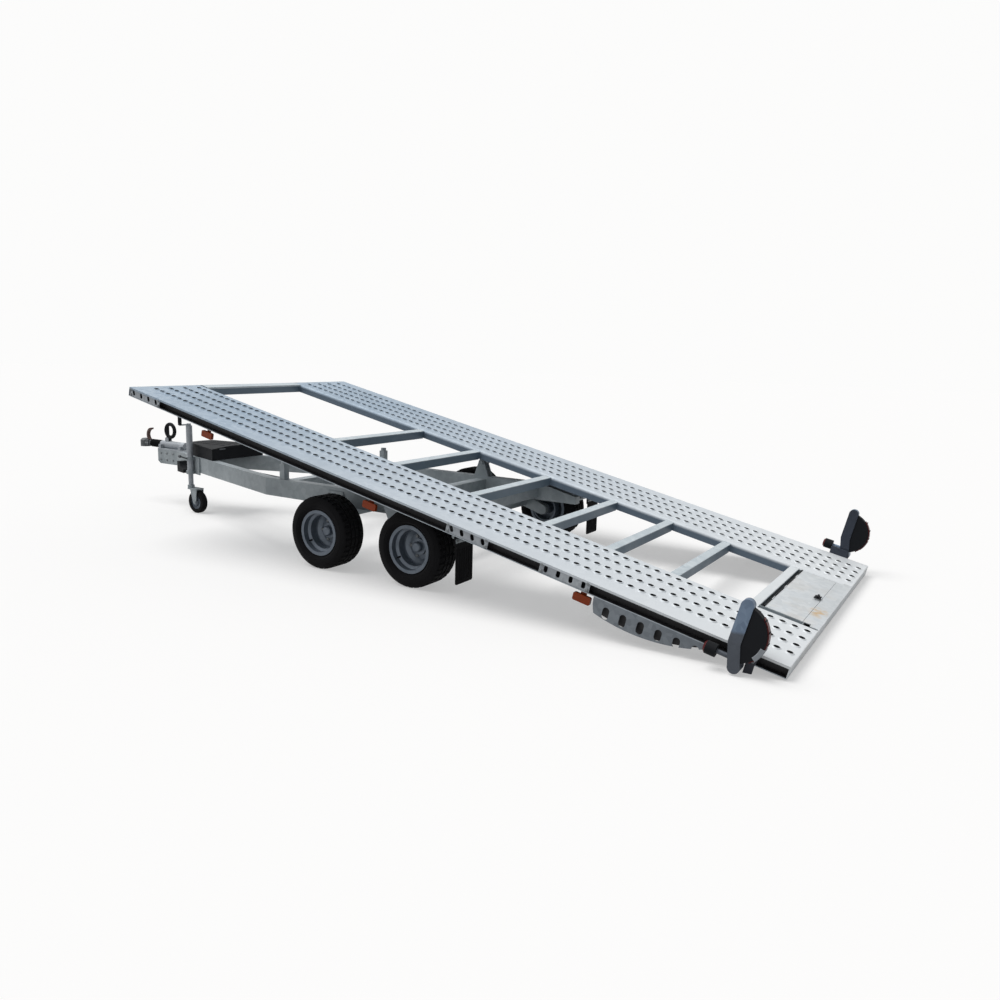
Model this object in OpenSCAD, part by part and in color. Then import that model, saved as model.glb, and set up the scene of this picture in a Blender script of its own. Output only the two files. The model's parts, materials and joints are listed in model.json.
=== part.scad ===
// Twin-axle tilting car transport trailer: a perforated platform that tips about a cross
// pivot on a V drawbar chassis. Stations run forward (+X) from the platform's rear top edge,
// +Y is the trailer's left side and +Z is up from the ground.

/* [Platform] */
// Length of the platform along its slope
deck_len = 4500; // [4300:10:4560]
// Width of the platform over its side rails
deck_w = 2100; // [2060:10:2200]
// Slope of the parked platform in degrees, front end up
deck_tilt = 12.5; // [10:0.5:12.5]
// Depth of the platform frame below the tread
deck_depth = 60; // [54:1:62]
// Width of each wheel runner
runner_w = 586; // [560:2:600]
// Sheet thickness of runners, rails and plates
sheet = 4; // [3:0.5:5]
// Bend radius of the runner's inner edge
edge_r = 24; // [16:1:28]
// Turned-down lip on the runner's outer edge
edge_lip = 12; // [8:1:16]
// Depth of the open channel in the side rail
rail_open = 46; // [36:1:50]

/* [Runner holes] */
// Diameter of a grip hole
hole_d = 32; // [20:1:34]
// Spacing of the grip holes along the runner
hole_pitch_s = 60; // [50:1:80]
// Spacing of the grip holes across the runner
hole_pitch_y = 116; // [100:1:120]
// Distance from the runner's outer edge to the first column of holes
hole_edge = 150; // [130:1:160]
// Columns of grip holes
hole_columns = 4; // [3:1:4]
// Distance from the platform's rear edge to the first row of holes
hole_rear = 40; // [36:1:60]

/* [Platform frame] */
// Width of a cross-member
cross_w = 50; // [40:1:60]
// Depth of a cross-member
cross_h = 58; // [40:1:62]
// Drop of the cross-member's top below the tread
cross_drop = 8; // [4:1:14]
// Wall of the cross-member tubes
cross_wall = 4; // [3:0.5:6]
// Width of a stringer tube under each runner
stringer_w = 40; // [30:1:44]
// Distance of the stringer from the runner's inner edge
stringer_in = 41; // [36:1:46]
// Depth of an outrigger under the runner
outrigger_h = 44; // [30:1:48]
// Depth along the platform of the front beam
front_beam_w = 70; // [50:1:90]
// Depth along the platform of the rear sill
rear_sill_w = 85; // [60:1:100]
// Open slot between each runner and the rear tray
tray_side_gap = 32; // [24:1:40]
// Length of the hatch lid along the platform
hatch_len = 192; // [160:1:196]

/* [Tilt pivot] */
// Distance of the pivot from the platform's rear edge, along the slope
pivot_s = 2612; // [2560:1:2620]
// Drop of the pivot below the tread
pivot_drop = 90; // [88:1:96]
// Height of the pivot above the chassis beams
pivot_post_h = 98.5; // [97:0.5:120]
// Diameter of the pivot pin
pivot_pin_d = 30; // [20:1:30]
// Radial clearance of pins and shafts
pin_clear = 0.4; // [0.3:0.1:0.6]

/* [Chassis] */
// Depth of the chassis beams
beam_h = 120; // [100:2:124]
// Width of the chassis beams
beam_w = 60; // [50:1:60]
// Reach of the beams behind the pivot
beam_behind = 770; // [700:5:775]
// Reach of the beams ahead of the pivot, to the drawbar bend
beam_ahead = 1084; // [1050:2:1120]
// Angle of each drawbar arm to the centre plane, in degrees
drawbar_angle = 17.5; // [17.2:0.1:17.8]
// Length of the nose ahead of the arms
nose_len = 246; // [230:2:260]
// Half width of the nose
nose_half_w = 52; // [48:1:54]

/* [Axles and wheels] */
// Outside diameter of a tyre
tyre_d = 450; // [440:2:456]
// Section width of a tyre
tyre_w = 195; // [175:1:200]
// Diameter of the rim's outer flange
rim_d = 280; // [270:2:290]
// Gap between a chassis beam and the tyre beside it
wheel_gap = 164.5; // [160:0.5:172]
// Distance of the front axle ahead of the pivot
axle_lead = 268; // [250:1:280]
// Distance between the two axles
axle_gap = 691; // [660:1:700]
// Size of the square axle tube
axle_tube = 80; // [70:1:84]
// Forward offset of the axle tube from the wheel centre
arm_reach = 165; // [150:1:175]
// Rise of the axle tube above the wheel centre
arm_rise = 60; // [50:1:66]
// Thickness of a swing arm
arm_t = 40; // [30:1:45]
// Diameter of a stub axle
stub_d = 40; // [34:1:44]
// Inset of the wheel disc's bolting face behind the tyre's middle
wheel_inset = 30; // [24:1:34]

/* [Drawbar gear] */
// Distance of the storage box behind the nose
box_back = 250; // [230:5:280]
// Length of the storage box
box_len = 440; // [360:5:450]
// Height of the storage box below its lid
box_h = 84; // [70:1:90]
// Wall of the storage box
box_wall = 4; // [3:0.5:6]
// Height of the lid's crown
lid_crown = 14; // [8:1:16]
// Distance of the jockey behind the nose
jockey_back = 364; // [350:2:380]
// Diameter of the jockey's outer tube
jockey_d = 48; // [46:1:60]
// Diameter of the jockey's inner tube
jockey_inner_d = 38; // [30:1:39]
// Diameter of the jockey wheel
jockey_wheel_d = 180; // [170:2:200]
// Width of the jockey wheel
jockey_wheel_w = 50; // [44:1:60]
// Trail of the jockey wheel behind its swivel
jockey_trail = 76; // [60:1:80]
// Lift of the jockey wheel
jockey_lift = 80; // [40:5:80]
// Diameter of the overrun housing
overrun_d = 64; // [56:1:70]
// Diameter of the towing ball
ball_d = 50; // [50:0.4:50.8]

/* [Hidden] */
$fn = 48;

// Clearance between a moving piece and its seat
run_clear = 5;
seat_gap = 0.3;
over = 1;

// Heights that follow from the wheels
wheel_z = tyre_d / 2;
axle_z = wheel_z + arm_rise;
beam_bottom_z = axle_z + axle_tube / 2;
beam_top_z = beam_bottom_z + beam_h;
pivot_z = beam_top_z + pivot_post_h;

// Platform placing: the tread's rear edge is station zero
deck_rear_z = pivot_z - pivot_s * sin(deck_tilt) + pivot_drop * cos(deck_tilt);
pivot_x = pivot_s * cos(deck_tilt) + pivot_drop * sin(deck_tilt);
half_w = deck_w / 2;
inner_y = half_w - runner_w;
web_y = half_w - rail_open;
stringer_y = inner_y + stringer_in;
ear_r = pivot_drop - deck_depth - run_clear - 1;

// Chassis stations: each beam lies under a stringer
beam_mid_y = stringer_y + stringer_w / 2;
beam_outer_y = beam_mid_y + beam_w / 2;
beam_inner_y = beam_mid_y - beam_w / 2;
beam_rear_x = pivot_x - beam_behind;
bend_x = pivot_x + beam_ahead;
arm_slope = tan(drawbar_angle);
apex_x = bend_x + beam_outer_y / arm_slope;
inner_apex_x = apex_x - beam_w / sin(drawbar_angle);
mitre_x = inner_apex_x - beam_inner_y / arm_slope;
nose_x = apex_x - nose_half_w / arm_slope;
nose_front_x = nose_x + nose_len;
front_axle_x = pivot_x + axle_lead;
rear_axle_x = front_axle_x - axle_gap;
tyre_inner_y = beam_outer_y + wheel_gap;
wheel_y = tyre_inner_y + tyre_w / 2;
disc_y = -wheel_inset;
swing_arm_gap = 28;
arm_outer_y = tyre_inner_y - swing_arm_gap;
arm_inner_y = arm_outer_y - arm_t;

// Coupling and jockey stations
base_t = 8;
weld_sink = 3;
coupling_z = beam_top_z + base_t + overrun_d / 2 - weld_sink;
gaiter_len = 138;
head_reach = 88;
head_x = nose_front_x + gaiter_len + head_reach;
cup_wall = 20;
cup_r = ball_d / 2 + cup_wall;
tip_x = head_x + cup_r;
overrun_behind = 115;
overrun_x = nose_x - overrun_behind;
box_front_x = nose_x - box_back;
box_rear_x = box_front_x - box_len;
clamp_plate_t = 10;
jockey_x = nose_x - jockey_back;
jockey_stand = 2;
jockey_off = clamp_plate_t + jockey_d / 2 + jockey_stand;
jockey_y = arm_y(jockey_x) + jockey_off / cos(drawbar_angle);
jockey_wheel_z = jockey_wheel_d / 2;
fork_head = 8;
swivel_z = jockey_wheel_d + fork_head;
collar_h = 30;
jockey_tube_bottom = swivel_z + collar_h + jockey_lift + 2 * run_clear;
jockey_rise = 250;
jockey_tube_top = beam_top_z + jockey_rise;
mid_x = tip_x / 2;

// Half width of the drawbar's outer edge at a station
function arm_y(x) = (apex_x - x) * arm_slope;

// Rows of grip holes
hole_rows = floor((deck_len - 2 * hole_rear) / hole_pitch_s) + 1;

// Cross-member stations along the platform
cross_s = [331, 752, 1135, 1533, 2050, 2645, 3161];
tray_end_s = cross_s[0] - cross_w / 2;
tray_half_w = inner_y - tray_side_gap;
tray_slot_s = 46;
tray_shelf_h = 16;
hatch_s = rear_sill_w + 2;
hatch_hinge_s = hatch_s + hatch_len;

// Lashing plates across the rail: rear station, length, slots, slot lean in degrees
lash_plates = [
    [963, 282, 4, 0],
    [1556, 266, 4, 25],
    [deck_len - 314, 306, 4, 25]
];
lash_slot_w = 22;
lash_slot_h = 36;

// Side marker stations
marker_s = [990, 2345, deck_len - 793];

// Crescent skirt under the rear side: stations, depth, lower curve and front corner
skirt_s0 = 251;
skirt_s1 = 930;
skirt_depth = 99;
skirt_low_s = 470;
skirt_curve_r = 900;
skirt_corner_r = 175;
skirt_slots = 6;
skirt_slot_s = 403;
skirt_slot_pitch = 90;
skirt_slot_w = 35;
skirt_slot_h = 44;
skirt_slot_v = 46;
skirt_slot_sink = 3;
skirt_slot_grow = 6;
skirt_in = 34;

// Tail lamp units, one a side: side, station of the guard's rear edge, height of its foot
lamp_units = [
    [1, 209, -104],
    [-1, 156, -18]
];
guard_w = 56;
guard_h = 330;
guard_bend = 135;
guard_rake = 14.7;
guard_foot = 28;
guard_in = 10;
guard_out = 76;
guard_top_out = 44;
bow_r = 130;
bow_u = 35;
bow_v = 174;
lens_t = 6;
stalk_v = 59;
stalk_y = 50;
stalk_len = 64;
stalk_d = 22;
outline_lamp_r = 30;
outline_lamp_len = 48;
outline_lens_h = 10;
housing_inset = 4;
lens_inset = 10;

// Colours
zinc = "#b9c4cc";
zinc_dark = "#8f989e";
black = "#1a1b1d";
rubber = "#151515";
amber = "#b8581c";
red = "#a81818";
rim_grey = "#9a9fa4";

// Placing and shaping helpers; on an arm, X runs along its outer face and Y away from it
module at_arm(x) translate([x, arm_y(x), 0]) rotate([0, 0, -drawbar_angle]) children();
module at_ground() translate([-mid_x, 0, 0]) children();
module at_deck() translate([-mid_x, 0, deck_rear_z]) rotate([0, -deck_tilt, 0]) children();
module both_sides() {
    children();
    mirror([0, 1, 0]) children();
}
// Extrudes a (Y, Z) outline forward from a station
module along(x, len) translate([x, 0, 0]) rotate([90, 0, 90]) linear_extrude(len) children();
// Extrudes an (X, Z) outline across, from y to y + t
module upright(y, t) translate([0, y + t, 0]) rotate([90, 0, 0]) linear_extrude(t) children();
// Outline of a box tube, its corner at the origin
module tube_outline(w, h, wall) {
    difference() {
        square([w, h]);
        translate([wall, wall]) square([w - 2 * wall, h - 2 * wall]);
    }
}
// Round-ended slot with its middle at the origin
module slot_outline(w, h) {
    square([w, h - w], center = true);
    for (end = [-1, 1]) translate([0, end * (h - w) / 2]) circle(w / 2);
}
// Points along an arc, from one angle to another
function arc(c, r, from, to, steps) = [
    for (i = [0 : steps])
        let (a = from + (to - from) * i / steps) c + r * [cos(a), sin(a)]
];
// Half an outline and its mirror image below it, as one closed outline
function mirrored(half) = concat(
    half,
    [for (i = [len(half) - 1 : -1 : 0]) [half[i][0], -half[i][1]]]
);
// Rectangle with round corners, its middle at the origin
module round_rect(w, h, r) {
    square([w - 2 * r, h], center = true);
    square([w, h - 2 * r], center = true);
    for (x = [-1, 1], y = [-1, 1]) translate([x * (w / 2 - r), y * (h / 2 - r)]) circle(r);
}

// Perforated wheel runner with a rolled inner edge and a turned-down outer lip
module runner_holes() {
    for (row = [0 : hole_rows - 1], col = [0 : hole_columns - 1])
        translate([hole_rear + row * hole_pitch_s, half_w - hole_edge - col * hole_pitch_y])
            circle(hole_d / 2);
}
module runner_outline() polygon(concat(
    [[inner_y, -deck_depth]],
    arc([inner_y + edge_r, -edge_r], edge_r, 180, 90, 8),
    [[half_w, 0], [half_w, -edge_lip], [half_w - sheet, -edge_lip], [half_w - sheet, -sheet]],
    arc([inner_y + edge_r, -edge_r], edge_r - sheet, 90, 180, 8),
    [[inner_y + sheet, -deck_depth]]
));
module runner() difference() {
    along(sheet, deck_len - 2 * sheet) runner_outline();
    translate([0, 0, -2 * sheet]) linear_extrude(3 * sheet) runner_holes();
}
module left_runner() color(zinc) at_deck() runner();
module right_runner() color(zinc) at_deck() mirror([0, 1, 0]) runner();

// Side rail: a channel that opens outward under the runner's edge
module rail() along(sheet, deck_len - 2 * sheet) {
    translate([web_y, -deck_depth]) square([sheet, deck_depth - sheet]);
    translate([web_y, -deck_depth]) square([rail_open, sheet]);
}
module left_rail() color(zinc_dark) at_deck() rail();
module right_rail() color(zinc_dark) at_deck() mirror([0, 1, 0]) rail();

// Tubes along each runner, outriggers across it and cross-members between the runners
module stringers() color(zinc_dark) at_deck() both_sides()
    translate([0, stringer_y, -deck_depth]) along(sheet, deck_len - 2 * sheet)
        tube_outline(stringer_w, deck_depth - sheet, cross_wall);
gusset_s = 2150;
gusset_len = 100;
gusset_h = 66;
module outriggers() color(zinc_dark) at_deck() both_sides() {
    for (s = cross_s)
        translate([s - cross_w / 2, stringer_y + stringer_w, -sheet - outrigger_h])
            cube([cross_w, web_y - stringer_y - stringer_w, outrigger_h]);
    // Three-cornered stay plate under the rail
    upright(half_w - 2 * sheet, sheet) translate([gusset_s, -deck_depth])
        polygon([[0, 0], [gusset_len, 0], [gusset_len / 2, -gusset_h]]);
}
module crossmembers() color(zinc) at_deck()
    for (s = cross_s) upright(-inner_y, 2 * inner_y)
        translate([s - cross_w / 2, -cross_drop - cross_h])
            tube_outline(cross_w, cross_h, cross_wall);

// End plates over the full width, each with its beam between the runners
module end_plate(s) translate([s, -half_w, -deck_depth]) cube([sheet, deck_w, deck_depth]);
module front_beam() color(zinc) at_deck() {
    end_plate(deck_len - sheet);
    upright(-inner_y, 2 * inner_y) translate([deck_len - front_beam_w, -deck_depth])
        tube_outline(front_beam_w - sheet, deck_depth, sheet);
}
module rear_sill() color(zinc) at_deck() {
    end_plate(0);
    both_sides() translate([sheet, tray_half_w, -sheet])
        cube([tray_slot_s - sheet, tray_side_gap, sheet]);
    upright(-tray_half_w, 2 * tray_half_w) translate([sheet, -deck_depth])
        tube_outline(rear_sill_w - sheet, deck_depth, sheet);
}

// Shallow tray behind the last cross-member, under a hinged hatch, with a sunk shelf each side
module hatch_tray() color(zinc_dark) at_deck() {
    tray_len = tray_end_s - rear_sill_w;
    translate([rear_sill_w, -tray_half_w, -deck_depth]) difference() {
        cube([tray_len, 2 * tray_half_w, deck_depth - sheet - seat_gap]);
        translate([sheet, sheet, sheet])
            cube([tray_len - 2 * sheet, 2 * (tray_half_w - sheet), deck_depth]);
    }
    both_sides() translate([tray_slot_s, tray_half_w, -tray_shelf_h - sheet])
        cube([tray_end_s - tray_slot_s, tray_side_gap, sheet]);
}
hatch_gap = 2;
knuckle_r = 4;
knuckle_len = 60;
latch_s = 6;
latch_len = 26;
latch_w = 44;
latch_t = 8;
module hatch_lid() color(zinc) at_deck() {
    translate([hatch_s, -tray_half_w, -sheet])
        cube([hatch_len - hatch_gap, 2 * tray_half_w, sheet]);
    for (y = [-0.6, 0, 0.6]) translate([hatch_hinge_s, y * tray_half_w, 0]) rotate([90, 0, 0])
        cylinder(r = knuckle_r, h = knuckle_len, center = true);
    translate([hatch_s + latch_s, -latch_w / 2, -seat_gap]) cube([latch_len, latch_w, latch_t]);
}

// Crescent skids under the rear sides: a slotted outer plate and a plain inner one
module skirt_outline() intersection() {
    translate([skirt_s0, -deck_depth - skirt_depth])
        square([skirt_s1 - skirt_s0, skirt_depth]);
    translate([skirt_s0 + skirt_low_s, -deck_depth + skirt_curve_r - skirt_depth])
        circle(skirt_curve_r, $fn = 360);
    translate([skirt_s1 - skirt_corner_r, -deck_depth]) {
        circle(skirt_corner_r, $fn = 180);
        translate([-skirt_s1, -skirt_depth]) square([skirt_s1, skirt_depth]);
    }
}
// Slots grow longer and sit lower towards the skid's deepest part
module skirt_slots_outline() for (i = [0 : skirt_slots - 1])
    translate([skirt_slot_s + i * skirt_slot_pitch, -deck_depth - skirt_slot_v - skirt_slot_sink * min(i, 4)])
        slot_outline(skirt_slot_w, skirt_slot_h + skirt_slot_grow * min(i, 3));
module rear_skirts() color(zinc) at_deck() both_sides() {
    upright(half_w - sheet, sheet) difference() {
        skirt_outline();
        skirt_slots_outline();
    }
    upright(half_w - skirt_in, sheet) skirt_outline();
}

// Lashing plates across the open side of the rail
module lashing_plates() color("#c9cdd0") at_deck() both_sides()
    for (p = lash_plates) {
        rear = p[0];
        len = p[1];
        slots = p[2];
        lean = p[3];
        upright(half_w - 2 * sheet - seat_gap, sheet) difference() {
            translate([rear, -deck_depth + sheet]) square([len, deck_depth - 2 * sheet]);
            for (i = [0 : slots - 1])
                translate([rear + len * (i + 0.5) / slots, -deck_depth / 2])
                    rotate(-lean) slot_outline(lash_slot_w, lash_slot_h);
        }
    }

// Amber side markers on short brackets under the rail
marker_in = 24;
marker_len = 94;
marker_round = 8;
marker_h = 40;
marker_t = 18;
marker_drop = 38;
hanger_w = 32;
hanger_h = 20;
module side_markers() color(amber) at_deck() both_sides()
    for (s = marker_s) translate([s, half_w - marker_in, -deck_depth]) {
        translate([-hanger_w / 2, 0, -hanger_h]) cube([hanger_w, sheet, hanger_h]);
        translate([0, 0, -marker_drop]) upright(sheet, marker_t)
            round_rect(marker_len, marker_h, marker_round);
    }

// Rubber feet under the rear corners
foot_s = 14;
foot_len = 46;
foot_w = 150;
foot_in = 40;
foot_t = 6;
module rear_feet() color(rubber) at_deck() both_sides()
    translate([foot_s, half_w - foot_in - foot_w, -deck_depth - foot_t])
        cube([foot_len, foot_w, foot_t]);

// Tail lamp units: a bent guard outboard of the rail, a bowed lamp behind it facing the rear, and
// an outline lamp on a stalk ahead of it. Each side sits at its own height
module at_lamps() at_deck() for (unit = lamp_units) {
    side = unit[0];
    mirror([0, side < 0 ? 1 : 0, 0]) translate([unit[1], half_w, unit[2]]) children();
}
guard_shift = -(guard_bend - guard_foot) * tan(guard_rake);
module guard_outline() {
    translate([guard_w / 2, guard_h - guard_w / 2]) circle(guard_w / 2);
    translate([guard_w / 2 + guard_shift, guard_foot]) circle(guard_w / 2);
    polygon([
        [guard_shift, guard_foot],
        [0, guard_bend],
        [0, guard_h - guard_w / 2],
        [guard_w, guard_h - guard_w / 2],
        [guard_w, guard_bend],
        [guard_w + guard_shift, guard_foot]
    ]);
}
// Section across a lamp unit: upright below the bend, leaning inward above it
module lamp_section(inset) along(-2 * bow_r, 4 * bow_r) polygon([
    [guard_in + inset, -over],
    [guard_out - inset, -over],
    [guard_out - inset, guard_bend],
    [guard_top_out - inset, guard_h + over],
    [guard_in + inset, guard_h + over]
]);
module bow_outline(grow) difference() {
    translate([bow_u, bow_v]) circle(bow_r + grow);
    translate([0, -bow_r]) square([4 * bow_r, 4 * bow_r]);
    translate([-seat_gap, 0]) guard_outline();
}
bracket_s = 190;
bracket_len = 110;
bracket_h = 102;
bracket_round = 10;
tail_s = 140;
tail_w = 38;
tail_drop = 112;
module lamp_brackets() color(zinc) {
    at_lamps() {
        intersection() {
            upright(guard_in, guard_out - guard_in) guard_outline();
            lamp_section(0);
        }
        translate([guard_w / 2, stalk_y, stalk_v]) rotate([0, 90, 0])
            cylinder(d = stalk_d, h = stalk_len);
    }
    at_deck() both_sides() upright(half_w, guard_in) {
        translate([bracket_s, -sheet]) round_rect(bracket_len, bracket_h, bracket_round);
        translate([tail_s, -tail_drop]) square([tail_w, tail_drop]);
    }
}
module lamp_housings() color(black) at_lamps() {
    intersection() {
        upright(guard_in, guard_out - guard_in) bow_outline(0);
        lamp_section(housing_inset);
    }
    translate([guard_w / 2 + stalk_len, stalk_y, stalk_v]) rotate([0, 90, 0])
        cylinder(r = outline_lamp_r, h = outline_lamp_len);
}
lens_reach = 52;
module lamp_lenses() color(red) at_lamps() {
    intersection() {
        upright(guard_in, guard_out - guard_in) difference() {
            bow_outline(lens_t);
            translate([bow_u, bow_v]) circle(bow_r + seat_gap);
            translate([-lens_reach, -bow_r]) square([4 * bow_r, 4 * bow_r]);
        }
        lamp_section(lens_inset);
    }
    translate([guard_w / 2 + stalk_len + outline_lamp_len, stalk_y, stalk_v]) rotate([0, 90, 0])
        cylinder(r1 = outline_lamp_r, r2 = outline_lamp_r - outline_lens_h, h = outline_lens_h);
}

// Lugs under the stringers that carry the platform on the pivot pins
lug_t = 30;
lug_r = 28;
lug_base = 120;
lug_base_t = 14;
module pivot_lugs() color(zinc_dark) at_deck() both_sides()
    upright(beam_mid_y - lug_t / 2, lug_t) difference() {
        union() {
            translate([pivot_s, -pivot_drop]) circle(lug_r);
            translate([pivot_s - lug_base / 2, -deck_depth - lug_base_t])
                square([lug_base, lug_base_t]);
            translate([pivot_s - lug_r, -pivot_drop])
                square([2 * lug_r, pivot_drop - deck_depth]);
        }
        translate([pivot_s, -pivot_drop]) circle(pivot_pin_d / 2 + pin_clear);
    }

// Chassis beams, mitred at the bend and bevelled at the rear
bevel_h = 70;
bevel_len = 290;
module beam() intersection() {
    translate([0, 0, beam_bottom_z]) linear_extrude(beam_h) polygon([
        [beam_rear_x, beam_inner_y],
        [beam_rear_x, beam_outer_y],
        [bend_x, beam_outer_y],
        [mitre_x, beam_inner_y]
    ]);
    upright(beam_inner_y - over, beam_w + 2 * over) polygon([
        [beam_rear_x - over, beam_bottom_z - over],
        [beam_rear_x - over, beam_top_z - bevel_h],
        [beam_rear_x + bevel_len, beam_top_z],
        [bend_x + over, beam_top_z],
        [bend_x + over, beam_bottom_z - over]
    ]);
}
module left_beam() color(zinc_dark) at_ground() beam();
module right_beam() color(zinc_dark) at_ground() mirror([0, 1, 0]) beam();

// Drawbar arms from the bend to the nose
module arm() translate([0, 0, beam_bottom_z]) linear_extrude(beam_h) polygon([
    [bend_x, beam_outer_y],
    [nose_x, nose_half_w],
    [nose_x, 0],
    [inner_apex_x, 0],
    [mitre_x, beam_inner_y]
]);
module left_arm() color(zinc_dark) at_ground() arm();
module right_arm() color(zinc_dark) at_ground() mirror([0, 1, 0]) arm();

// Cross-beams between the chassis beams, of the axle tube's size
crossbeam_lift = 20;
crossbeam_wall = 5;
crossbeam_x = [bevel_len + axle_tube / 2 + beam_rear_x, pivot_x, bend_x - 2 * beam_w];
module chassis_crossbeams() color(zinc_dark) at_ground()
    for (x = crossbeam_x) upright(-beam_inner_y, 2 * beam_inner_y)
        translate([x - axle_tube / 2, beam_bottom_z + crossbeam_lift])
            tube_outline(axle_tube, axle_tube, crossbeam_wall);

// Ears and pins of the tilt pivot
ear_t = 10;
ear_base = 120;
pin_head = 8;
module pivot_posts() color(zinc_dark) at_ground() both_sides() {
    for (y = [beam_inner_y, beam_outer_y - ear_t]) upright(y, ear_t) {
        translate([pivot_x, pivot_z]) circle(ear_r);
        polygon([
            [pivot_x - ear_base / 2, beam_top_z],
            [pivot_x - ear_r, pivot_z],
            [pivot_x + ear_r, pivot_z],
            [pivot_x + ear_base / 2, beam_top_z]
        ]);
    }
    translate([pivot_x, beam_mid_y, pivot_z]) rotate([90, 0, 0])
        cylinder(d = pivot_pin_d, h = beam_w + 2 * pin_head, center = true);
}

// Rubber-topped posts that the level platform rests on
rest_x_back = 150;
rest_post_w = 44;
rest_pad_d = 40;
rest_pad_h = 20;
rest_h = pivot_post_h + pivot_drop - deck_depth - run_clear - rest_pad_h;
module rest_posts() color(zinc_dark) at_ground() both_sides()
    translate([bend_x - rest_x_back, beam_mid_y, beam_top_z]) {
        linear_extrude(rest_h) square(rest_post_w, center = true);
        translate([0, 0, rest_h]) cylinder(d = rest_pad_d, h = rest_pad_h);
    }

// Torsion axle: square tube under the beams, trailing swing arms and stub axles
arm_boss_r = 44;
arm_end_r = 36;
axle_wall = 8;
stub_end = disc_y + 30;
arm_lean = atan2(arm_rise, arm_reach);
module swing_arm_outline(x) {
    boss_x = x + arm_reach;
    translate([boss_x, axle_z]) circle(arm_boss_r);
    translate([x, wheel_z]) circle(arm_end_r);
    polygon([
        [boss_x - arm_boss_r * sin(arm_lean), axle_z + arm_boss_r * cos(arm_lean)],
        [x - arm_end_r * sin(arm_lean), wheel_z + arm_end_r * cos(arm_lean)],
        [x + arm_end_r * sin(arm_lean), wheel_z - arm_end_r * cos(arm_lean)],
        [boss_x + arm_boss_r * sin(arm_lean), axle_z - arm_boss_r * cos(arm_lean)]
    ]);
}
module axle(x) {
    upright(-arm_inner_y, 2 * arm_inner_y)
        translate([x + arm_reach - axle_tube / 2, axle_z - axle_tube / 2])
            tube_outline(axle_tube, axle_tube, axle_wall);
    both_sides() {
        upright(arm_inner_y, arm_t) swing_arm_outline(x);
        translate([x, arm_outer_y, wheel_z]) rotate([-90, 0, 0])
            cylinder(d = stub_d, h = wheel_y - arm_outer_y + stub_end);
    }
}
module front_axle() color(zinc_dark) at_ground() axle(front_axle_x);
module rear_axle() color(zinc_dark) at_ground() axle(rear_axle_x);

// Mudflaps behind the rear wheels on stays from the beam ends, broader along the top
flap_x = 38;
flap_t = 5;
flap_w = tyre_w - 30;
flap_len = 280;
flap_top_w = tyre_w;
flap_top_h = 60;
flap_above = 8;
flap_round = 12;
stay_d = 25;
stay_drop = 6;
stay_z = beam_bottom_z + stay_d / 2 + stay_drop;
module flap_stays() color(zinc_dark) at_ground() both_sides()
    translate([beam_rear_x + flap_x, beam_outer_y, stay_z]) rotate([-90, 0, 0])
        cylinder(d = stay_d, h = wheel_y + flap_w / 2 - beam_outer_y);
module mudflaps() color(rubber) at_ground() both_sides()
    translate([beam_rear_x + flap_x - stay_d / 2 - flap_t - seat_gap, wheel_y, stay_z + flap_above])
        rotate([90, 0, 90]) linear_extrude(flap_t) {
            translate([0, -flap_len / 2]) round_rect(flap_w, flap_len, flap_round);
            translate([0, -flap_top_h / 2]) round_rect(flap_top_w, flap_top_h, flap_round);
        }

// Nose that joins the arms and carries the overrun coupling
nose_lip = 20;
nose_chamfer = 30;
module nose() color(zinc_dark) at_ground() upright(-nose_half_w, 2 * nose_half_w) polygon([
    [nose_x, beam_bottom_z],
    [nose_x, beam_top_z],
    [nose_front_x, beam_top_z],
    [nose_front_x, beam_bottom_z + nose_lip],
    [nose_front_x - nose_chamfer, beam_bottom_z]
]);
lever_back = 76;
lever_x = nose_front_x - lever_back;
lever_w = 24;
lever_boss_r = 12;
cheek_t = 6;
cheek_w = 40;
cheek_top = overrun_d / 2 + 2 * lever_boss_r + 4;
tube_behind = 60;
saddle_w = 30;
saddle_in = 10;
module overrun_housing() color(zinc) at_ground() {
    tube_x = overrun_x + tube_behind;
    translate([overrun_x, -nose_half_w, beam_top_z])
        cube([nose_front_x - overrun_x, 2 * nose_half_w, base_t]);
    translate([tube_x, 0, coupling_z]) rotate([0, 90, 0])
        cylinder(d = overrun_d, h = nose_front_x - tube_x);
    for (x = [tube_x + saddle_in, nose_front_x - saddle_in - saddle_w])
        translate([x, -nose_half_w, beam_top_z + base_t])
            cube([saddle_w, 2 * nose_half_w, overrun_d / 2]);
    both_sides() upright(lever_w / 2 + seat_gap, cheek_t)
        translate([lever_x - cheek_w / 2, coupling_z]) square([cheek_w, cheek_top]);
}
gaiter_folds = 8;
gaiter_r = 33;
gaiter_neck_r = 25;
module gaiter() color(rubber) at_ground()
    translate([nose_front_x, 0, coupling_z]) rotate([0, 90, 0]) for (i = [0 : gaiter_folds - 1]) {
        half_fold = gaiter_len / gaiter_folds / 2;
        translate([0, 0, 2 * i * half_fold]) {
            cylinder(r1 = gaiter_neck_r, r2 = gaiter_r, h = half_fold);
            translate([0, 0, half_fold])
                cylinder(r1 = gaiter_r, r2 = gaiter_neck_r, h = half_fold);
        }
    }
cup_low = 34;
cup_h = 54;
cup_crown = 14;
ball_clear = 0.4;
ball_depth = 46;
neck_w = 60;
neck_low = 24;
neck_h = 52;
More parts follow.
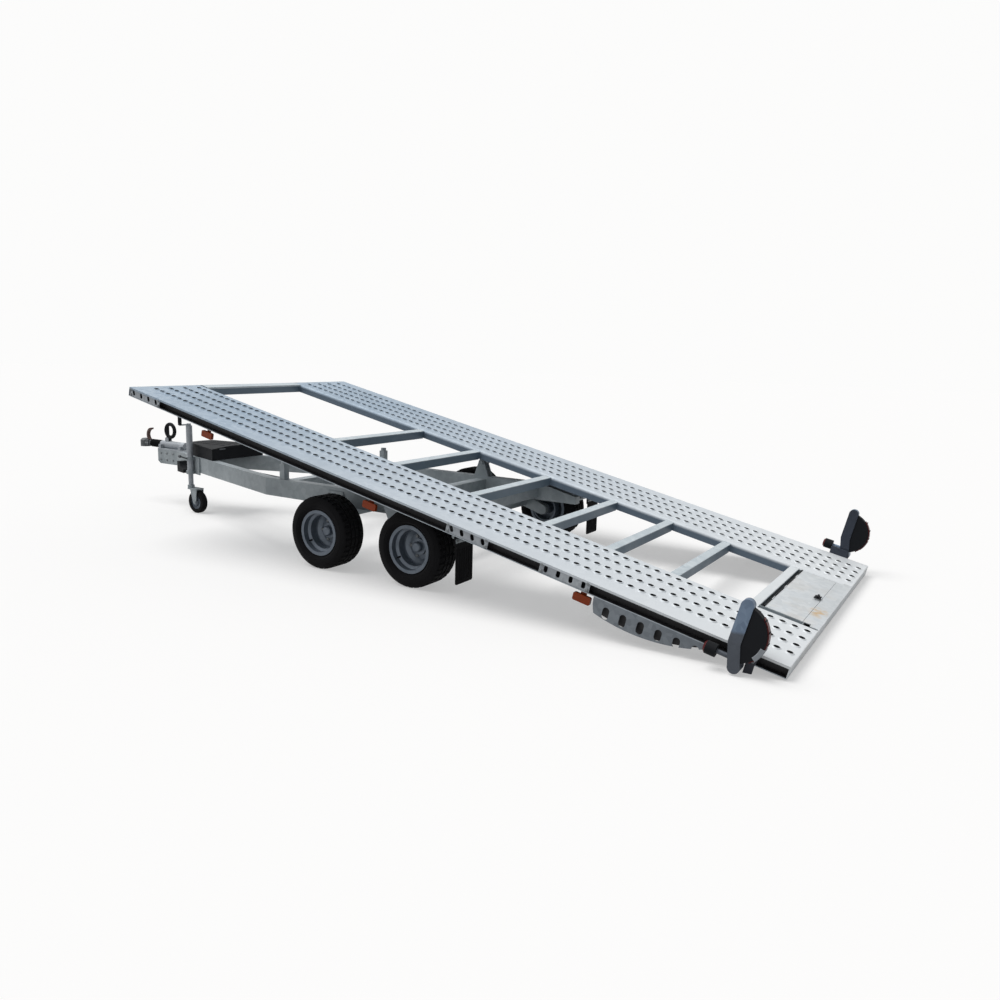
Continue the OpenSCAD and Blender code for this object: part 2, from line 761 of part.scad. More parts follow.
module coupling_head() color("#5d6266") at_ground() {
    shank_x = nose_front_x + gaiter_len;
    translate([shank_x, 0, coupling_z]) rotate([0, 90, 0])
        cylinder(r = gaiter_neck_r, h = head_x - shank_x - ball_d / 2 - 4);
    translate([head_x, 0, coupling_z - cup_low]) difference() {
        union() {
            cylinder(r = cup_r, h = cup_h);
            translate([0, 0, cup_h]) cylinder(r1 = cup_r, r2 = cup_r - cup_crown, h = cup_crown);
            translate([-cup_r - 22, -neck_w / 2, cup_low - neck_low])
                cube([cup_r, neck_w, neck_h]);
        }
        translate([0, 0, -over]) cylinder(d = ball_d + ball_clear, h = ball_depth + over);
    }
}

// Hand grip over the coupling head, and the handbrake lever, a loop with its bow to the rear
grip_r = 62;
grip_bar = 14;
grip_v = 40;
grip_back = 92;
module coupling_handle() color("#3a2a22") at_ground() upright(-grip_bar, 2 * grip_bar)
    translate([head_x - grip_back, coupling_z - neck_low + neck_h]) intersection() {
        translate([0, grip_v]) difference() {
            circle(grip_r);
            circle(grip_r - grip_bar);
        }
        square(2 * grip_r);
    }
loop_r = 70;
loop_wall = 16;
loop_front = 40;
loop_back = 30;
loop_v = 76;
module loop_outline(inset) {
    bow_r = loop_r - inset;
    translate([-loop_back, loop_v]) circle(bow_r);
    translate([-loop_back, loop_v - bow_r]) square([loop_back + loop_front - inset, 2 * bow_r]);
}
module handbrake() color(black) at_ground() upright(-lever_w / 2, lever_w)
    translate([lever_x, coupling_z + overrun_d / 2 + lever_boss_r + seat_gap]) {
        circle(lever_boss_r);
        difference() {
            loop_outline(0);
            loop_outline(loop_wall);
        }
    }

// Wheel chock carried against the outer face of the left arm
chock_back = 300;
chock_len = 130;
chock_h = 84;
chock_w = 66;
chock_low = 20;
chock_toe = 22;
chock_heel = 54;
chock_curve_r = 92;
chock_curve_v = 122;
module chock() color(black) at_ground() at_arm(nose_x - chock_back)
    translate([0, 0, beam_bottom_z - chock_low]) upright(0, chock_w) difference() {
        polygon([
            [0, 0],
            [chock_len, 0],
            [chock_len, chock_h],
            [chock_len - chock_heel, chock_h],
            [0, chock_toe]
        ]);
        translate([0, chock_curve_v]) circle(chock_curve_r);
    }

// Storage box on the drawbar, its sides following the arms
box_in = 14;
module box_plan(grow) polygon([
    [box_rear_x - grow, arm_y(box_rear_x) - box_in + grow],
    [box_front_x + grow, arm_y(box_front_x) - box_in + grow],
    [box_front_x + grow, -arm_y(box_front_x) + box_in - grow],
    [box_rear_x - grow, -arm_y(box_rear_x) + box_in - grow]
]);
module storage_box() color(black) at_ground() translate([0, 0, beam_top_z]) difference() {
    linear_extrude(box_h) box_plan(0);
    translate([0, 0, box_wall]) linear_extrude(box_h) box_plan(-box_wall);
}
lid_edge = 6;
lid_lap = 3;
lid_r = 2200;
module box_lid() color(black) at_ground() {
    lid_z = beam_top_z + box_h + seat_gap;
    intersection() {
        translate([0, 0, lid_z]) linear_extrude(lid_edge + lid_crown) box_plan(lid_lap);
        translate([box_rear_x - 2 * lid_lap, 0, lid_z + lid_edge + lid_crown - lid_r])
            rotate([0, 90, 0]) cylinder(r = lid_r, h = box_len + 4 * lid_lap, $fn = 720);
    }
}

// Jockey: tube clamped to the left arm, crank, sliding inner tube, swivelling fork and wheel
clamp_len = 170;
clamp_ahead = 45;
clamp_ring_h = 26;
clamp_wall = 9;
module at_jockey() at_ground() translate([jockey_x, jockey_y, 0]) children();
module jockey_clamp() color(zinc_dark) difference() {
    plate_h = beam_top_z - jockey_tube_bottom;
    union() {
        at_ground() at_arm(jockey_x) translate([clamp_ahead - clamp_len, 0, jockey_tube_bottom])
            cube([clamp_len, clamp_plate_t, plate_h]);
        at_jockey() for (z = [jockey_tube_bottom, beam_top_z - clamp_ring_h])
            translate([0, 0, z]) cylinder(d = jockey_d + 2 * clamp_wall, h = clamp_ring_h);
    }
    at_jockey() translate([0, 0, jockey_tube_bottom - over])
        cylinder(d = jockey_d + 2 * seat_gap, h = plate_h + 2 * over);
}
tube_cap = 6;
crank_d = 12;
crank_len = 90;
crank_h = 16;
crank_grip_d = 22;
crank_grip_h = 80;
module jockey_tube() color(zinc) at_jockey() {
    tube_h = jockey_tube_top - jockey_tube_bottom;
    translate([0, 0, jockey_tube_bottom]) difference() {
        cylinder(d = jockey_d, h = tube_h);
        translate([0, 0, -over])
            cylinder(d = jockey_inner_d + 2 * seat_gap, h = tube_h - tube_cap + over);
    }
    translate([0, 0, jockey_tube_top]) {
        cylinder(d = 2 * crank_h, h = crank_h);
        translate([0, 0, crank_h / 2]) rotate([0, 90, 90]) cylinder(d = crank_d, h = crank_len);
        translate([0, crank_len - crank_d / 2, crank_h / 2])
            cylinder(d = crank_grip_d, h = crank_grip_h);
    }
}
module jockey_inner() color(zinc) at_jockey() translate([0, 0, swivel_z + collar_h])
    cylinder(d = jockey_inner_d, h = jockey_tube_top - jockey_lift - swivel_z - 2 * collar_h);
fork_t = 6;
fork_gap = 4;
fork_plate_t = 10;
fork_back = 30;
fork_ahead = 50;
fork_end_r = 18;
collar_wall = 8;
wheel_pin_d = 20;
wheel_pin_head = 6;
module jockey_fork() color(zinc_dark) at_jockey() {
    half = jockey_wheel_w / 2 + fork_gap;
    translate([0, 0, swivel_z])
        cylinder(d = jockey_inner_d + 2 * collar_wall, h = collar_h - seat_gap);
    translate([-jockey_trail, 0, 0]) {
        translate([-fork_back, -half - fork_t, swivel_z])
            cube([jockey_trail + fork_back, 2 * (half + fork_t), fork_plate_t]);
        both_sides() upright(half, fork_t) {
            translate([0, jockey_wheel_z]) circle(fork_end_r);
            polygon([
                [-fork_end_r, jockey_wheel_z],
                [-fork_back, swivel_z + fork_plate_t],
                [fork_ahead, swivel_z + fork_plate_t],
                [fork_end_r, jockey_wheel_z]
            ]);
        }
        translate([0, 0, jockey_wheel_z]) rotate([90, 0, 0])
            cylinder(d = wheel_pin_d, h = 2 * (half + fork_t + wheel_pin_head), center = true);
    }
}
// Half of the jockey wheel's section in (radius, offset): hub, web and tyre
jockey_half_w = jockey_wheel_w / 2;
jockey_hub_r = 32;
jockey_tyre_r = jockey_wheel_z - 32;
jockey_web = 9;
jockey_round = 12;
jockey_wheel_side = concat(
    [
        [wheel_pin_d / 2 + pin_clear, jockey_half_w],
        [jockey_hub_r, jockey_half_w],
        [jockey_hub_r, jockey_web],
        [jockey_tyre_r, jockey_web],
        [jockey_tyre_r, jockey_half_w]
    ],
    arc([jockey_wheel_z - jockey_round, jockey_half_w - jockey_round], jockey_round, 90, 0, 6)
);
module jockey_wheel() color(rubber) at_jockey() translate([-jockey_trail, 0, jockey_wheel_z])
    rotate([90, 0, 0]) rotate_extrude($fn = 96) polygon(mirrored(jockey_wheel_side));

// Road wheels: each tyre and its deep-dished rim, given in (radius, offset) outlines
rim_r = rim_d / 2;
bead_r = rim_r - 14;
rim_half = tyre_w / 2 - 18;
shoulder_r = 26;
bead_half = rim_half - 4 - seat_gap;
bulge_r = 30;
tread_half = tyre_w / 2 - 8;
// One side of the tyre from bead to tread
tyre_side = concat(
    [[bead_r, bead_half], [rim_r + 3, bead_half]],
    arc([rim_r + bulge_r + 6, tyre_w / 2 - bulge_r], bulge_r, 160, 82, 6),
    arc([wheel_z - shoulder_r, tread_half - shoulder_r], shoulder_r, 80, 0, 6)
);
module wheel_tyre(x) translate([x, wheel_y, wheel_z]) rotate([-90, 0, 0])
    rotate_extrude($fn = 96) polygon(mirrored(tyre_side));
rim_wall = 5;
rim_flange = 6;
rim_edge = 2;
disc_t = 8;
disc_front = disc_y + 2 * disc_t;
hub_r = 48;
dish_r = 74;
shelf_r = 96;
seat_r = bead_r - seat_gap;
well_r = bead_r - 16;
well_in = 46 - rim_half;
well_out = 34;
module rim_outline() polygon([
    // Flanges, bead seats and drop well along the tyre side
    [rim_r, -rim_half - rim_edge],
    [rim_r, -rim_half + rim_flange - rim_edge],
    [seat_r, -rim_half + rim_flange - rim_edge],
    [seat_r, well_in - 6],
    [well_r, well_in],
    [well_r, well_out],
    [seat_r, well_out + 10],
    [seat_r, rim_half - rim_flange + rim_edge],
    [rim_r, rim_half - rim_flange + rim_edge],
    [rim_r, rim_half + rim_edge],
    [seat_r - rim_wall, rim_half + rim_edge],
    // Open side, then the dished disc with its flat bolting ring
    [seat_r - rim_wall, well_out + 12],
    [well_r - rim_wall, well_out + 2],
    [well_r - rim_wall, disc_front],
    [shelf_r, disc_front],
    [dish_r, disc_y],
    [hub_r, disc_y],
    [hub_r, disc_y - disc_t],
    [dish_r + 3, disc_y - disc_t],
    [shelf_r + 2, disc_y + disc_t],
    [well_r - rim_wall, disc_y + disc_t],
    [well_r - rim_wall, well_in + 2],
    [seat_r - rim_wall, well_in - 4],
    [seat_r - rim_wall, -rim_half - rim_edge]
]);
hub_bore_r = stub_d / 2 + pin_clear;
hub_inner = arm_outer_y - wheel_y + run_clear;
hub_face = disc_y - disc_t - seat_gap;
hub_neck_r = hub_r - 8;
hub_front = disc_y + 18;
drum_r = 90;
drum_wall = 8;
drum_back_t = 14;
cap_r = 30;
cap_inner = disc_y + 40;
cap_front = disc_y + 46;
module hub_outline() polygon([
    // Bearing bore, brake drum with its open back, and the dust cap over the stub's end
    [hub_bore_r, hub_inner],
    [hub_neck_r, hub_inner],
    [hub_neck_r, hub_face - drum_back_t],
    [drum_r - drum_wall, hub_face - drum_back_t],
    [drum_r - drum_wall, hub_inner],
    [drum_r, hub_inner],
    [drum_r, hub_face],
    [hub_r - seat_gap, hub_face],
    [hub_r - seat_gap, hub_front],
    [cap_r, hub_front],
    [cap_r, cap_inner],
    [cap_r - 6, cap_front],
    [0, cap_front],
    [0, cap_inner],
    [hub_bore_r, cap_inner]
]);
bolts = 5;
bolt_ring_r = 61;
bolt_hole_d = 13;
module wheel_rim(x) translate([x, wheel_y, wheel_z]) rotate([-90, 0, 0]) {
    difference() {
        rotate_extrude($fn = 96) rim_outline();
        for (i = [0 : bolts - 1])
            rotate(360 / bolts * i) translate([bolt_ring_r, 0, disc_y - disc_t - over])
                cylinder(d = bolt_hole_d, h = disc_t + 2 * over, $fn = 24);
    }
    rotate_extrude($fn = 96) hub_outline();
}
module front_left_tyre() color(rubber) at_ground() wheel_tyre(front_axle_x);
module front_left_rim() color(rim_grey) at_ground() wheel_rim(front_axle_x);
module front_right_tyre() color(rubber) at_ground() mirror([0, 1, 0]) wheel_tyre(front_axle_x);
module front_right_rim() color(rim_grey) at_ground() mirror([0, 1, 0]) wheel_rim(front_axle_x);
module rear_left_tyre() color(rubber) at_ground() wheel_tyre(rear_axle_x);
module rear_left_rim() color(rim_grey) at_ground() wheel_rim(rear_axle_x);
module rear_right_tyre() color(rubber) at_ground() mirror([0, 1, 0]) wheel_tyre(rear_axle_x);
module rear_right_rim() color(rim_grey) at_ground() mirror([0, 1, 0]) wheel_rim(rear_axle_x);

left_runner();
right_runner();
left_rail();
right_rail();
stringers();
outriggers();
crossmembers();
front_beam();
rear_sill();
hatch_tray();
hatch_lid();
rear_skirts();
lashing_plates();
side_markers();
rear_feet();
pivot_lugs();
lamp_brackets();
lamp_housings();
lamp_lenses();
left_beam();
right_beam();
left_arm();
right_arm();
chassis_crossbeams();
pivot_posts();
rest_posts();
front_axle();
rear_axle();
flap_stays();
mudflaps();
nose();
overrun_housing();
gaiter();
coupling_head();
coupling_handle();
handbrake();
chock();
storage_box();
box_lid();
jockey_clamp();
jockey_tube();
jockey_inner();
jockey_fork();
jockey_wheel();
front_left_tyre();
front_left_rim();
front_right_tyre();
front_right_rim();
rear_left_tyre();
rear_left_rim();
rear_right_tyre();
rear_right_rim();
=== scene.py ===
"""Looks of the tilting car transport trailer, in metres, in the part's own frame."""
import json
import math

import bpy
from mathutils import Matrix, Vector


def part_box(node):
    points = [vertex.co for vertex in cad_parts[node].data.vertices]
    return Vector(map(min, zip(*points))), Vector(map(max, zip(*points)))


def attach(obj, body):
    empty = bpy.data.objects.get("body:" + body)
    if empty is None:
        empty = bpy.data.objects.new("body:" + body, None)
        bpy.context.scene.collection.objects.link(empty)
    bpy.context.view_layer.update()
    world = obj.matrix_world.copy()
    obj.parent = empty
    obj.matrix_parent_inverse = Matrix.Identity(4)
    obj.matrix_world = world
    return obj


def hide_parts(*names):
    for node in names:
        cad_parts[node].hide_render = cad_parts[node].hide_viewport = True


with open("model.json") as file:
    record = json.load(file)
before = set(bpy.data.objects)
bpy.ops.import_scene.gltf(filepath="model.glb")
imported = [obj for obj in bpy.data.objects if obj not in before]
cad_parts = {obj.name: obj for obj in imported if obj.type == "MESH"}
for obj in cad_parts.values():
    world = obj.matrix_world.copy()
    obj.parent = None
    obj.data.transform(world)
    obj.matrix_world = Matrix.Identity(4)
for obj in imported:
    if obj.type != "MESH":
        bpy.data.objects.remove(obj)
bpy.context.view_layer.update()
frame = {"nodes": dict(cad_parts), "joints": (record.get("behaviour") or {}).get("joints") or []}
scene = bpy.context.scene

# The platform's own frame: stations run forward from its rear top edge, heights from its tread
TILT = math.radians(frame["joints"][0]["range_deg"][1])
DECK_LEN = 4.5
DECK_HALF = 1.05
SHEET = 0.004
REAR_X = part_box("rear_sill")[0].x
REAR_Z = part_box("left_runner")[1].z - (DECK_LEN - SHEET) * math.sin(TILT)
DECK = Matrix.Translation((REAR_X, 0, REAR_Z)) @ Matrix.Rotation(-TILT, 4, "Y")
SIDES = {"left": 1, "right": -1}
WHEELS = ("front_left", "front_right", "rear_left", "rear_right")


# Camera, at the place and turn that the photograph was taken from

CAM_PLACE = (REAR_X - 0.6842, 4.5497, 1.3477)
CAM_YAW = math.radians(-58.54)
CAM_PITCH = math.radians(10.1726)
CAM_ROLL = math.radians(-1.5342)
CAM_LENS = 30.066
CAM_SENSOR = 36


def add_camera():
    """A level camera turned by yaw, then pitched down, then rolled."""
    level = Vector((math.cos(CAM_YAW), math.sin(CAM_YAW), 0))
    ahead = level * math.cos(CAM_PITCH) - Vector((0, 0, math.sin(CAM_PITCH)))
    right = Vector((math.sin(CAM_YAW), -math.cos(CAM_YAW), 0))
    down = ahead.cross(right)
    rolled_right = math.cos(CAM_ROLL) * right + math.sin(CAM_ROLL) * down
    rolled_down = -math.sin(CAM_ROLL) * right + math.cos(CAM_ROLL) * down
    bpy.ops.object.camera_add(location=CAM_PLACE)
    camera = bpy.context.object
    turn = Matrix((rolled_right, -rolled_down, -ahead)).transposed()
    camera.rotation_euler = turn.to_euler()
    camera.data.sensor_width = CAM_SENSOR
    camera.data.lens = CAM_LENS
    scene.camera = camera


# Shared effects: node groups that put out masks, colours and heights


def new_group(name, inputs, outputs):
    """An empty shader group with float or colour sockets, and its input and output nodes."""
    group = bpy.data.node_groups.new(name, "ShaderNodeTree")
    for socket, kind, value in inputs:
        item = group.interface.new_socket(socket, in_out="INPUT", socket_type="NodeSocket" + kind)
        item.default_value = value
    for socket, kind in outputs:
        group.interface.new_socket(socket, in_out="OUTPUT", socket_type="NodeSocket" + kind)
    return group, group.nodes.new("NodeGroupInput"), group.nodes.new("NodeGroupOutput")


def add_node(tree, kind, **values):
    """A node with its properties and unlinked inputs set by name."""
    node = tree.nodes.new("ShaderNode" + kind)
    for key, value in values.items():
        if hasattr(node, key):
            setattr(node, key, value)
        else:
            node.inputs[key.replace("_", " ")].default_value = value
    return node


def math_node(tree, operation, first, second=None, clamp=False):
    """A Math node; each of its two inputs is a socket or a number."""
    node = tree.nodes.new("ShaderNodeMath")
    node.operation = operation
    node.use_clamp = clamp
    for slot, value in enumerate((first, second)):
        if value is None:
            continue
        if isinstance(value, (int, float)):
            node.inputs[slot].default_value = value
        else:
            tree.links.new(value, node.inputs[slot])
    return node.outputs[0]


def ramp(tree, value, low, high):
    """Maps low to 0 and high to 1, clamped."""
    node = tree.nodes.new("ShaderNodeMapRange")
    tree.links.new(value, node.inputs["Value"])
    node.inputs["From Min"].default_value = low
    node.inputs["From Max"].default_value = high
    return node.outputs["Result"]


def object_place(tree):
    return tree.nodes.new("ShaderNodeTexCoord").outputs["Object"]


def noise(tree, place, scale, detail=4.0, roughness=0.55):
    node = add_node(tree, "TexNoise", Scale=scale, Detail=detail, Roughness=roughness)
    tree.links.new(place, node.inputs["Vector"])
    return node.outputs["Fac"]


def make_zinc_group():
    """Spangle of a hot-dip zinc coat: crystal cells, cloudy stains and a fine roughness."""
    group, gin, gout = new_group(
        "zinc_spangle",
        [("Spangle Scale", "Float", 40.0), ("Cloud Scale", "Float", 3.0)],
        [("Spangle", "Float"), ("Clouds", "Float"), ("Height", "Float")],
    )
    place = object_place(group)
    cells = add_node(group, "TexVoronoi")
    group.links.new(place, cells.inputs["Vector"])
    group.links.new(gin.outputs["Spangle Scale"], cells.inputs["Scale"])
    grey = group.nodes.new("ShaderNodeRGBToBW")
    group.links.new(cells.outputs["Color"], grey.inputs[0])
    clouds = add_node(group, "TexNoise", Detail=6.0, Roughness=0.6)
    group.links.new(place, clouds.inputs["Vector"])
    group.links.new(gin.outputs["Cloud Scale"], clouds.inputs["Scale"])
    fine = noise(group, place, 220.0, 2.0)
    height = math_node(group, "ADD", math_node(group, "MULTIPLY", grey.outputs[0], 0.5), fine)
    group.links.new(grey.outputs[0], gout.inputs["Spangle"])
    group.links.new(ramp(group, clouds.outputs["Fac"], 0.35, 0.68), gout.inputs["Clouds"])
    group.links.new(height, gout.inputs["Height"])
    return group


def make_grain_group():
    """Moulded grain of plastic and rubber, with dust that gathers in patches."""
    group, gin, gout = new_group(
        "moulded_grain",
        [("Grain Scale", "Float", 500.0), ("Dust Scale", "Float", 7.0)],
        [("Dust", "Float"), ("Height", "Float")],
    )
    place = object_place(group)
    grain = add_node(group, "TexNoise", Detail=3.0)
    group.links.new(place, grain.inputs["Vector"])
    group.links.new(gin.outputs["Grain Scale"], grain.inputs["Scale"])
    dust = add_node(group, "TexNoise", Detail=7.0, Roughness=0.65)
    group.links.new(place, dust.inputs["Vector"])
    group.links.new(gin.outputs["Dust Scale"], dust.inputs["Scale"])
    group.links.new(ramp(group, dust.outputs["Fac"], 0.45, 0.8), gout.inputs["Dust"])
    group.links.new(grain.outputs["Fac"], gout.inputs["Height"])
    return group


ZINC = make_zinc_group()
GRAIN = make_grain_group()


# Materials


def new_material(name, metallic=0.0):
    """A node material: returns it with its tree and its Principled shader."""
    material = bpy.data.materials.new(name)
    material.use_nodes = True
    shader = material.node_tree.nodes["Principled BSDF"]
    shader.inputs["Metallic"].default_value = metallic
    return material, material.node_tree, shader


def place_group(tree, group, **values):
    node = tree.nodes.new("ShaderNodeGroup")
    node.node_tree = group
    for key, value in values.items():
        node.inputs[key.replace("_", " ")].default_value = value
    return node


def mix_colours(tree, mask, first, second):
    """Blends two colours, or sockets, by a mask."""
    node = tree.nodes.new("ShaderNodeMix")
    node.data_type = "RGBA"
    for slot, value in ((6, first), (7, second)):
        if isinstance(value, tuple):
            node.inputs[slot].default_value = (*value, 1)
        else:
            tree.links.new(value, node.inputs[slot])
    tree.links.new(mask, node.inputs[0])
    return node.outputs[2]


def add_bump(tree, shader, height, strength, distance):
    bump = add_node(tree, "Bump", Strength=strength, Distance=distance)
    tree.links.new(height, bump.inputs["Height"])
    tree.links.new(bump.outputs["Normal"], shader.inputs["Normal"])


def zinc_material(name, dark, light, stain, metallic, rough, scale=40.0):
    """Galvanised steel: spangled between two greys, with dull stains."""
    material, tree, shader = new_material(name, metallic)
    zinc = place_group(tree, ZINC, Spangle_Scale=scale, Cloud_Scale=3.2)
    base = mix_colours(tree, zinc.outputs["Spangle"], dark, light)
    stained = math_node(tree, "MULTIPLY", zinc.outputs["Clouds"], 0.55)
    colour = mix_colours(tree, stained, base, stain)
    tree.links.new(colour, shader.inputs["Base Color"])
    spread = math_node(tree, "MULTIPLY", zinc.outputs["Clouds"], 0.18)
    tree.links.new(math_node(tree, "ADD", spread, rough), shader.inputs["Roughness"])
    add_bump(tree, shader, zinc.outputs["Height"], 0.12, 0.0006)
    return material, tree, shader, colour


def axis_value(tree, axis, absolute=False):
    """One Object coordinate, or its size without its sign."""
    split = tree.nodes.new("ShaderNodeSeparateXYZ")
    tree.links.new(object_place(tree), split.inputs[0])
    value = split.outputs[axis]
    if absolute:
        return math_node(tree, "ABSOLUTE", value)
    return value


def deck_height(tree):
    """Height above the platform's tread, from the Object place."""
    up = math_node(tree, "MULTIPLY", axis_value(tree, "Z"), math.cos(TILT))
    along = math_node(tree, "MULTIPLY", axis_value(tree, "X"), math.sin(TILT))
    base = REAR_Z * math.cos(TILT) - REAR_X * math.sin(TILT)
    return math_node(tree, "SUBTRACT", math_node(tree, "SUBTRACT", up, along), base)


# Colour of the painted highlight: a pale sky reflection painted in towards the rear
REAR_HIGHLIGHT_COLOUR = (0.82, 0.84, 0.85)


def painted_rear_highlight(tree, colour, first, last, share):
    """Blends in a share of a pale painted highlight between two stations, full from the last one to the
    rear.
    """
    highlight_mask = ramp(tree, axis_value(tree, "X"), REAR_X + first, REAR_X + last)
    return mix_colours(tree, math_node(tree, "MULTIPLY", highlight_mask, share), colour, REAR_HIGHLIGHT_COLOUR)


def painted_wall_shade(tree, colour, first, last, dull):
    """Painted shade: the walls below the tread go dark between two heights."""
    return mix_colours(tree, ramp(tree, deck_height(tree), first, last), colour, dull)


def deck_zinc():
    """Tread sheet: bluish zinc whose blue is a painted sky reflection, with a painted highlight that makes
    it bright at the rear, so it is duller and bluer towards the front, and painted shade on its walls.
    """
    material, tree, shader, colour = zinc_material(
        "deck_zinc", (0.29, 0.38, 0.48), (0.46, 0.55, 0.64), (0.32, 0.39, 0.46),
        metallic=0.15, rough=0.50, scale=34.0,
    )
    # Painted highlight towards the rear, then painted shade on the walls below the tread
    bright = painted_rear_highlight(tree, colour, first=3.6, last=0.2, share=0.92)
    walls = painted_wall_shade(tree, bright, first=-0.010, last=-0.026, dull=(0.15, 0.20, 0.26))
    tree.links.new(walls, shader.inputs["Base Color"])
    return material


# Middle and half size of the tan stain on the sill
SPOT_S = 0.055
SPOT_HALF_S = 0.040
SPOT_Y = 0.215
SPOT_HALF_Y = 0.085


def squared_offset(tree, axis, middle, half):
    """Square of the distance from a middle along one axis, 1 at half the size."""
    offset = math_node(tree, "SUBTRACT", axis_value(tree, axis), middle)
    share = math_node(tree, "DIVIDE", offset, half)
    return math_node(tree, "MULTIPLY", share, share)


def sill_zinc():
    """Rear sill and hatch: bright sheet with tan stains where wheels roll on."""
    material, tree, shader, colour = zinc_material(
        "sill_zinc", (0.60, 0.64, 0.67), (0.76, 0.79, 0.81), (0.56, 0.58, 0.58),
        metallic=0.25, rough=0.42, scale=34.0,
    )
    patch = ramp(tree, noise(tree, object_place(tree), 4.5, 5.0), 0.52, 0.72)
    stained = mix_colours(tree, math_node(tree, "MULTIPLY", patch, 0.3), colour, (0.56, 0.47, 0.36))
    across_x = squared_offset(tree, "X", REAR_X + SPOT_S, SPOT_HALF_S)
    across_y = squared_offset(tree, "Y", SPOT_Y, SPOT_HALF_Y)
    reach = math_node(tree, "ADD", across_x, across_y)
    broken = ramp(tree, noise(tree, object_place(tree), 26.0, 6.0), 0.36, 0.62)
    spot = math_node(tree, "MULTIPLY", ramp(tree, reach, 1.6, 0.1), broken)
    spotted = mix_colours(tree, spot, stained, (0.62, 0.45, 0.26))
    tree.links.new(spotted, shader.inputs["Base Color"])
    return material


def tube_zinc():
    """Chassis tubes: weathered grey zinc, darker in its clouds."""
    return zinc_material(
        "tube_zinc", (0.30, 0.34, 0.36), (0.42, 0.46, 0.48), (0.24, 0.27, 0.29),
        metallic=0.3, rough=0.45, scale=28.0,
    )[0]


def frame_zinc():
    """Tray and lugs of the platform: grey zinc."""
    return zinc_material(
        "frame_zinc", (0.22, 0.25, 0.27), (0.32, 0.35, 0.37), (0.19, 0.22, 0.24),
        metallic=0.3, rough=0.42, scale=30.0,
    )[0]


def under_shade_zinc():
    """Members that lie in the platform's own shade: zinc painted dull and dark grey as painted shade."""
    return zinc_material(
        "under_shade_zinc", (0.13, 0.15, 0.16), (0.20, 0.22, 0.24), (0.10, 0.11, 0.12),
        metallic=0.2, rough=0.55, scale=28.0,
    )[0]


# Where the guards carry painted shade: down to the near one's foot, and in to the faces on the platform's
# side
GUARD_FOOT_SHADE_Z = (0.200, 0.185)
GUARD_NEAR_SHADE_Y = (0.9, 1.0)
GUARD_INNER_SHADE_Y = (1.066, 1.062)


def guard_sky_sheen_and_shade():
    """Lamp guards: a painted blue sky reflection above, painted shade on the near one's leaning foot, and
    painted shade that makes the faces inside almost black.
    """
    material, tree, shader, colour = zinc_material(
        "guard_sky_sheen_and_shade", (0.12, 0.17, 0.25), (0.21, 0.28, 0.38), (0.10, 0.14, 0.20),
        metallic=0.3, rough=0.38, scale=46.0,
    )
    low = ramp(tree, axis_value(tree, "Z"), *GUARD_FOOT_SHADE_Z)
    near = ramp(tree, axis_value(tree, "Y"), *GUARD_NEAR_SHADE_Y)
    # Painted shade on the near guard's foot, and on the faces inside
    foot_shade_share = math_node(tree, "MULTIPLY", math_node(tree, "MULTIPLY", low, near), 0.85)
    foot = mix_colours(tree, foot_shade_share, colour, (0.055, 0.058, 0.066))
    inner = ramp(tree, axis_value(tree, "Y", absolute=True), *GUARD_INNER_SHADE_Y)
    shade = mix_colours(tree, math_node(tree, "MULTIPLY", inner, 0.9), foot, (0.012, 0.014, 0.024))
    tree.links.new(shade, shader.inputs["Base Color"])
    return material


def cross_zinc():
    """Cross-members and front beam: a pale zinc standing in for lit tops, a painted highlight on the
    rearmost one, and painted shade on the sides.
    """
    material, tree, shader, colour = zinc_material(
        "cross_zinc", (0.50, 0.57, 0.61), (0.66, 0.72, 0.75), (0.44, 0.50, 0.54),
        metallic=0.25, rough=0.42, scale=30.0,
    )
    # Painted highlight on the rearmost cross-member, then painted shade on the sides
    bright = painted_rear_highlight(tree, colour, first=0.55, last=0.45, share=0.7)
    walls = painted_wall_shade(tree, bright, first=-0.0095, last=-0.014, dull=(0.13, 0.18, 0.23))
    tree.links.new(walls, shader.inputs["Base Color"])
    return material


def plate_zinc():
    """Bright plated pieces: lashing plates, jockey tubes, overrun housing."""
    return zinc_material(
        "plate_zinc", (0.36, 0.39, 0.42), (0.50, 0.53, 0.56), (0.31, 0.33, 0.36),
        metallic=0.25, rough=0.45, scale=60.0,
    )[0]


def shade_blackened(name, dark, light, first, last):
    """Zinc whose recess is painted black as painted shade: bare metal starts between two distances from
    the middle.
    """
    material, tree, shader, colour = zinc_material(name, dark, light, dark, metallic=0.2, rough=0.5)
    lip = ramp(tree, axis_value(tree, "Y", absolute=True), first, last)
    tree.links.new(mix_colours(tree, lip, (0.010, 0.010, 0.012), colour), shader.inputs["Base Color"])
    return material


def moulded(name, colour, dust, rough, grain_scale=500.0, dust_share=0.35, bump=0.25, gloss=0.5):
    """Plastic or rubber with a moulded grain and a little dust."""
    material, tree, shader = new_material(name)
    shader.inputs["Specular IOR Level"].default_value = gloss
    grain = place_group(tree, GRAIN, Grain_Scale=grain_scale, Dust_Scale=7.0)
    mask = math_node(tree, "MULTIPLY", grain.outputs["Dust"], dust_share)
    tree.links.new(mix_colours(tree, mask, colour, dust), shader.inputs["Base Color"])
    spread = math_node(tree, "MULTIPLY", grain.outputs["Dust"], 0.15)
    tree.links.new(math_node(tree, "ADD", spread, rough), shader.inputs["Roughness"])
    add_bump(tree, shader, grain.outputs["Height"], bump, 0.0005)
    return material


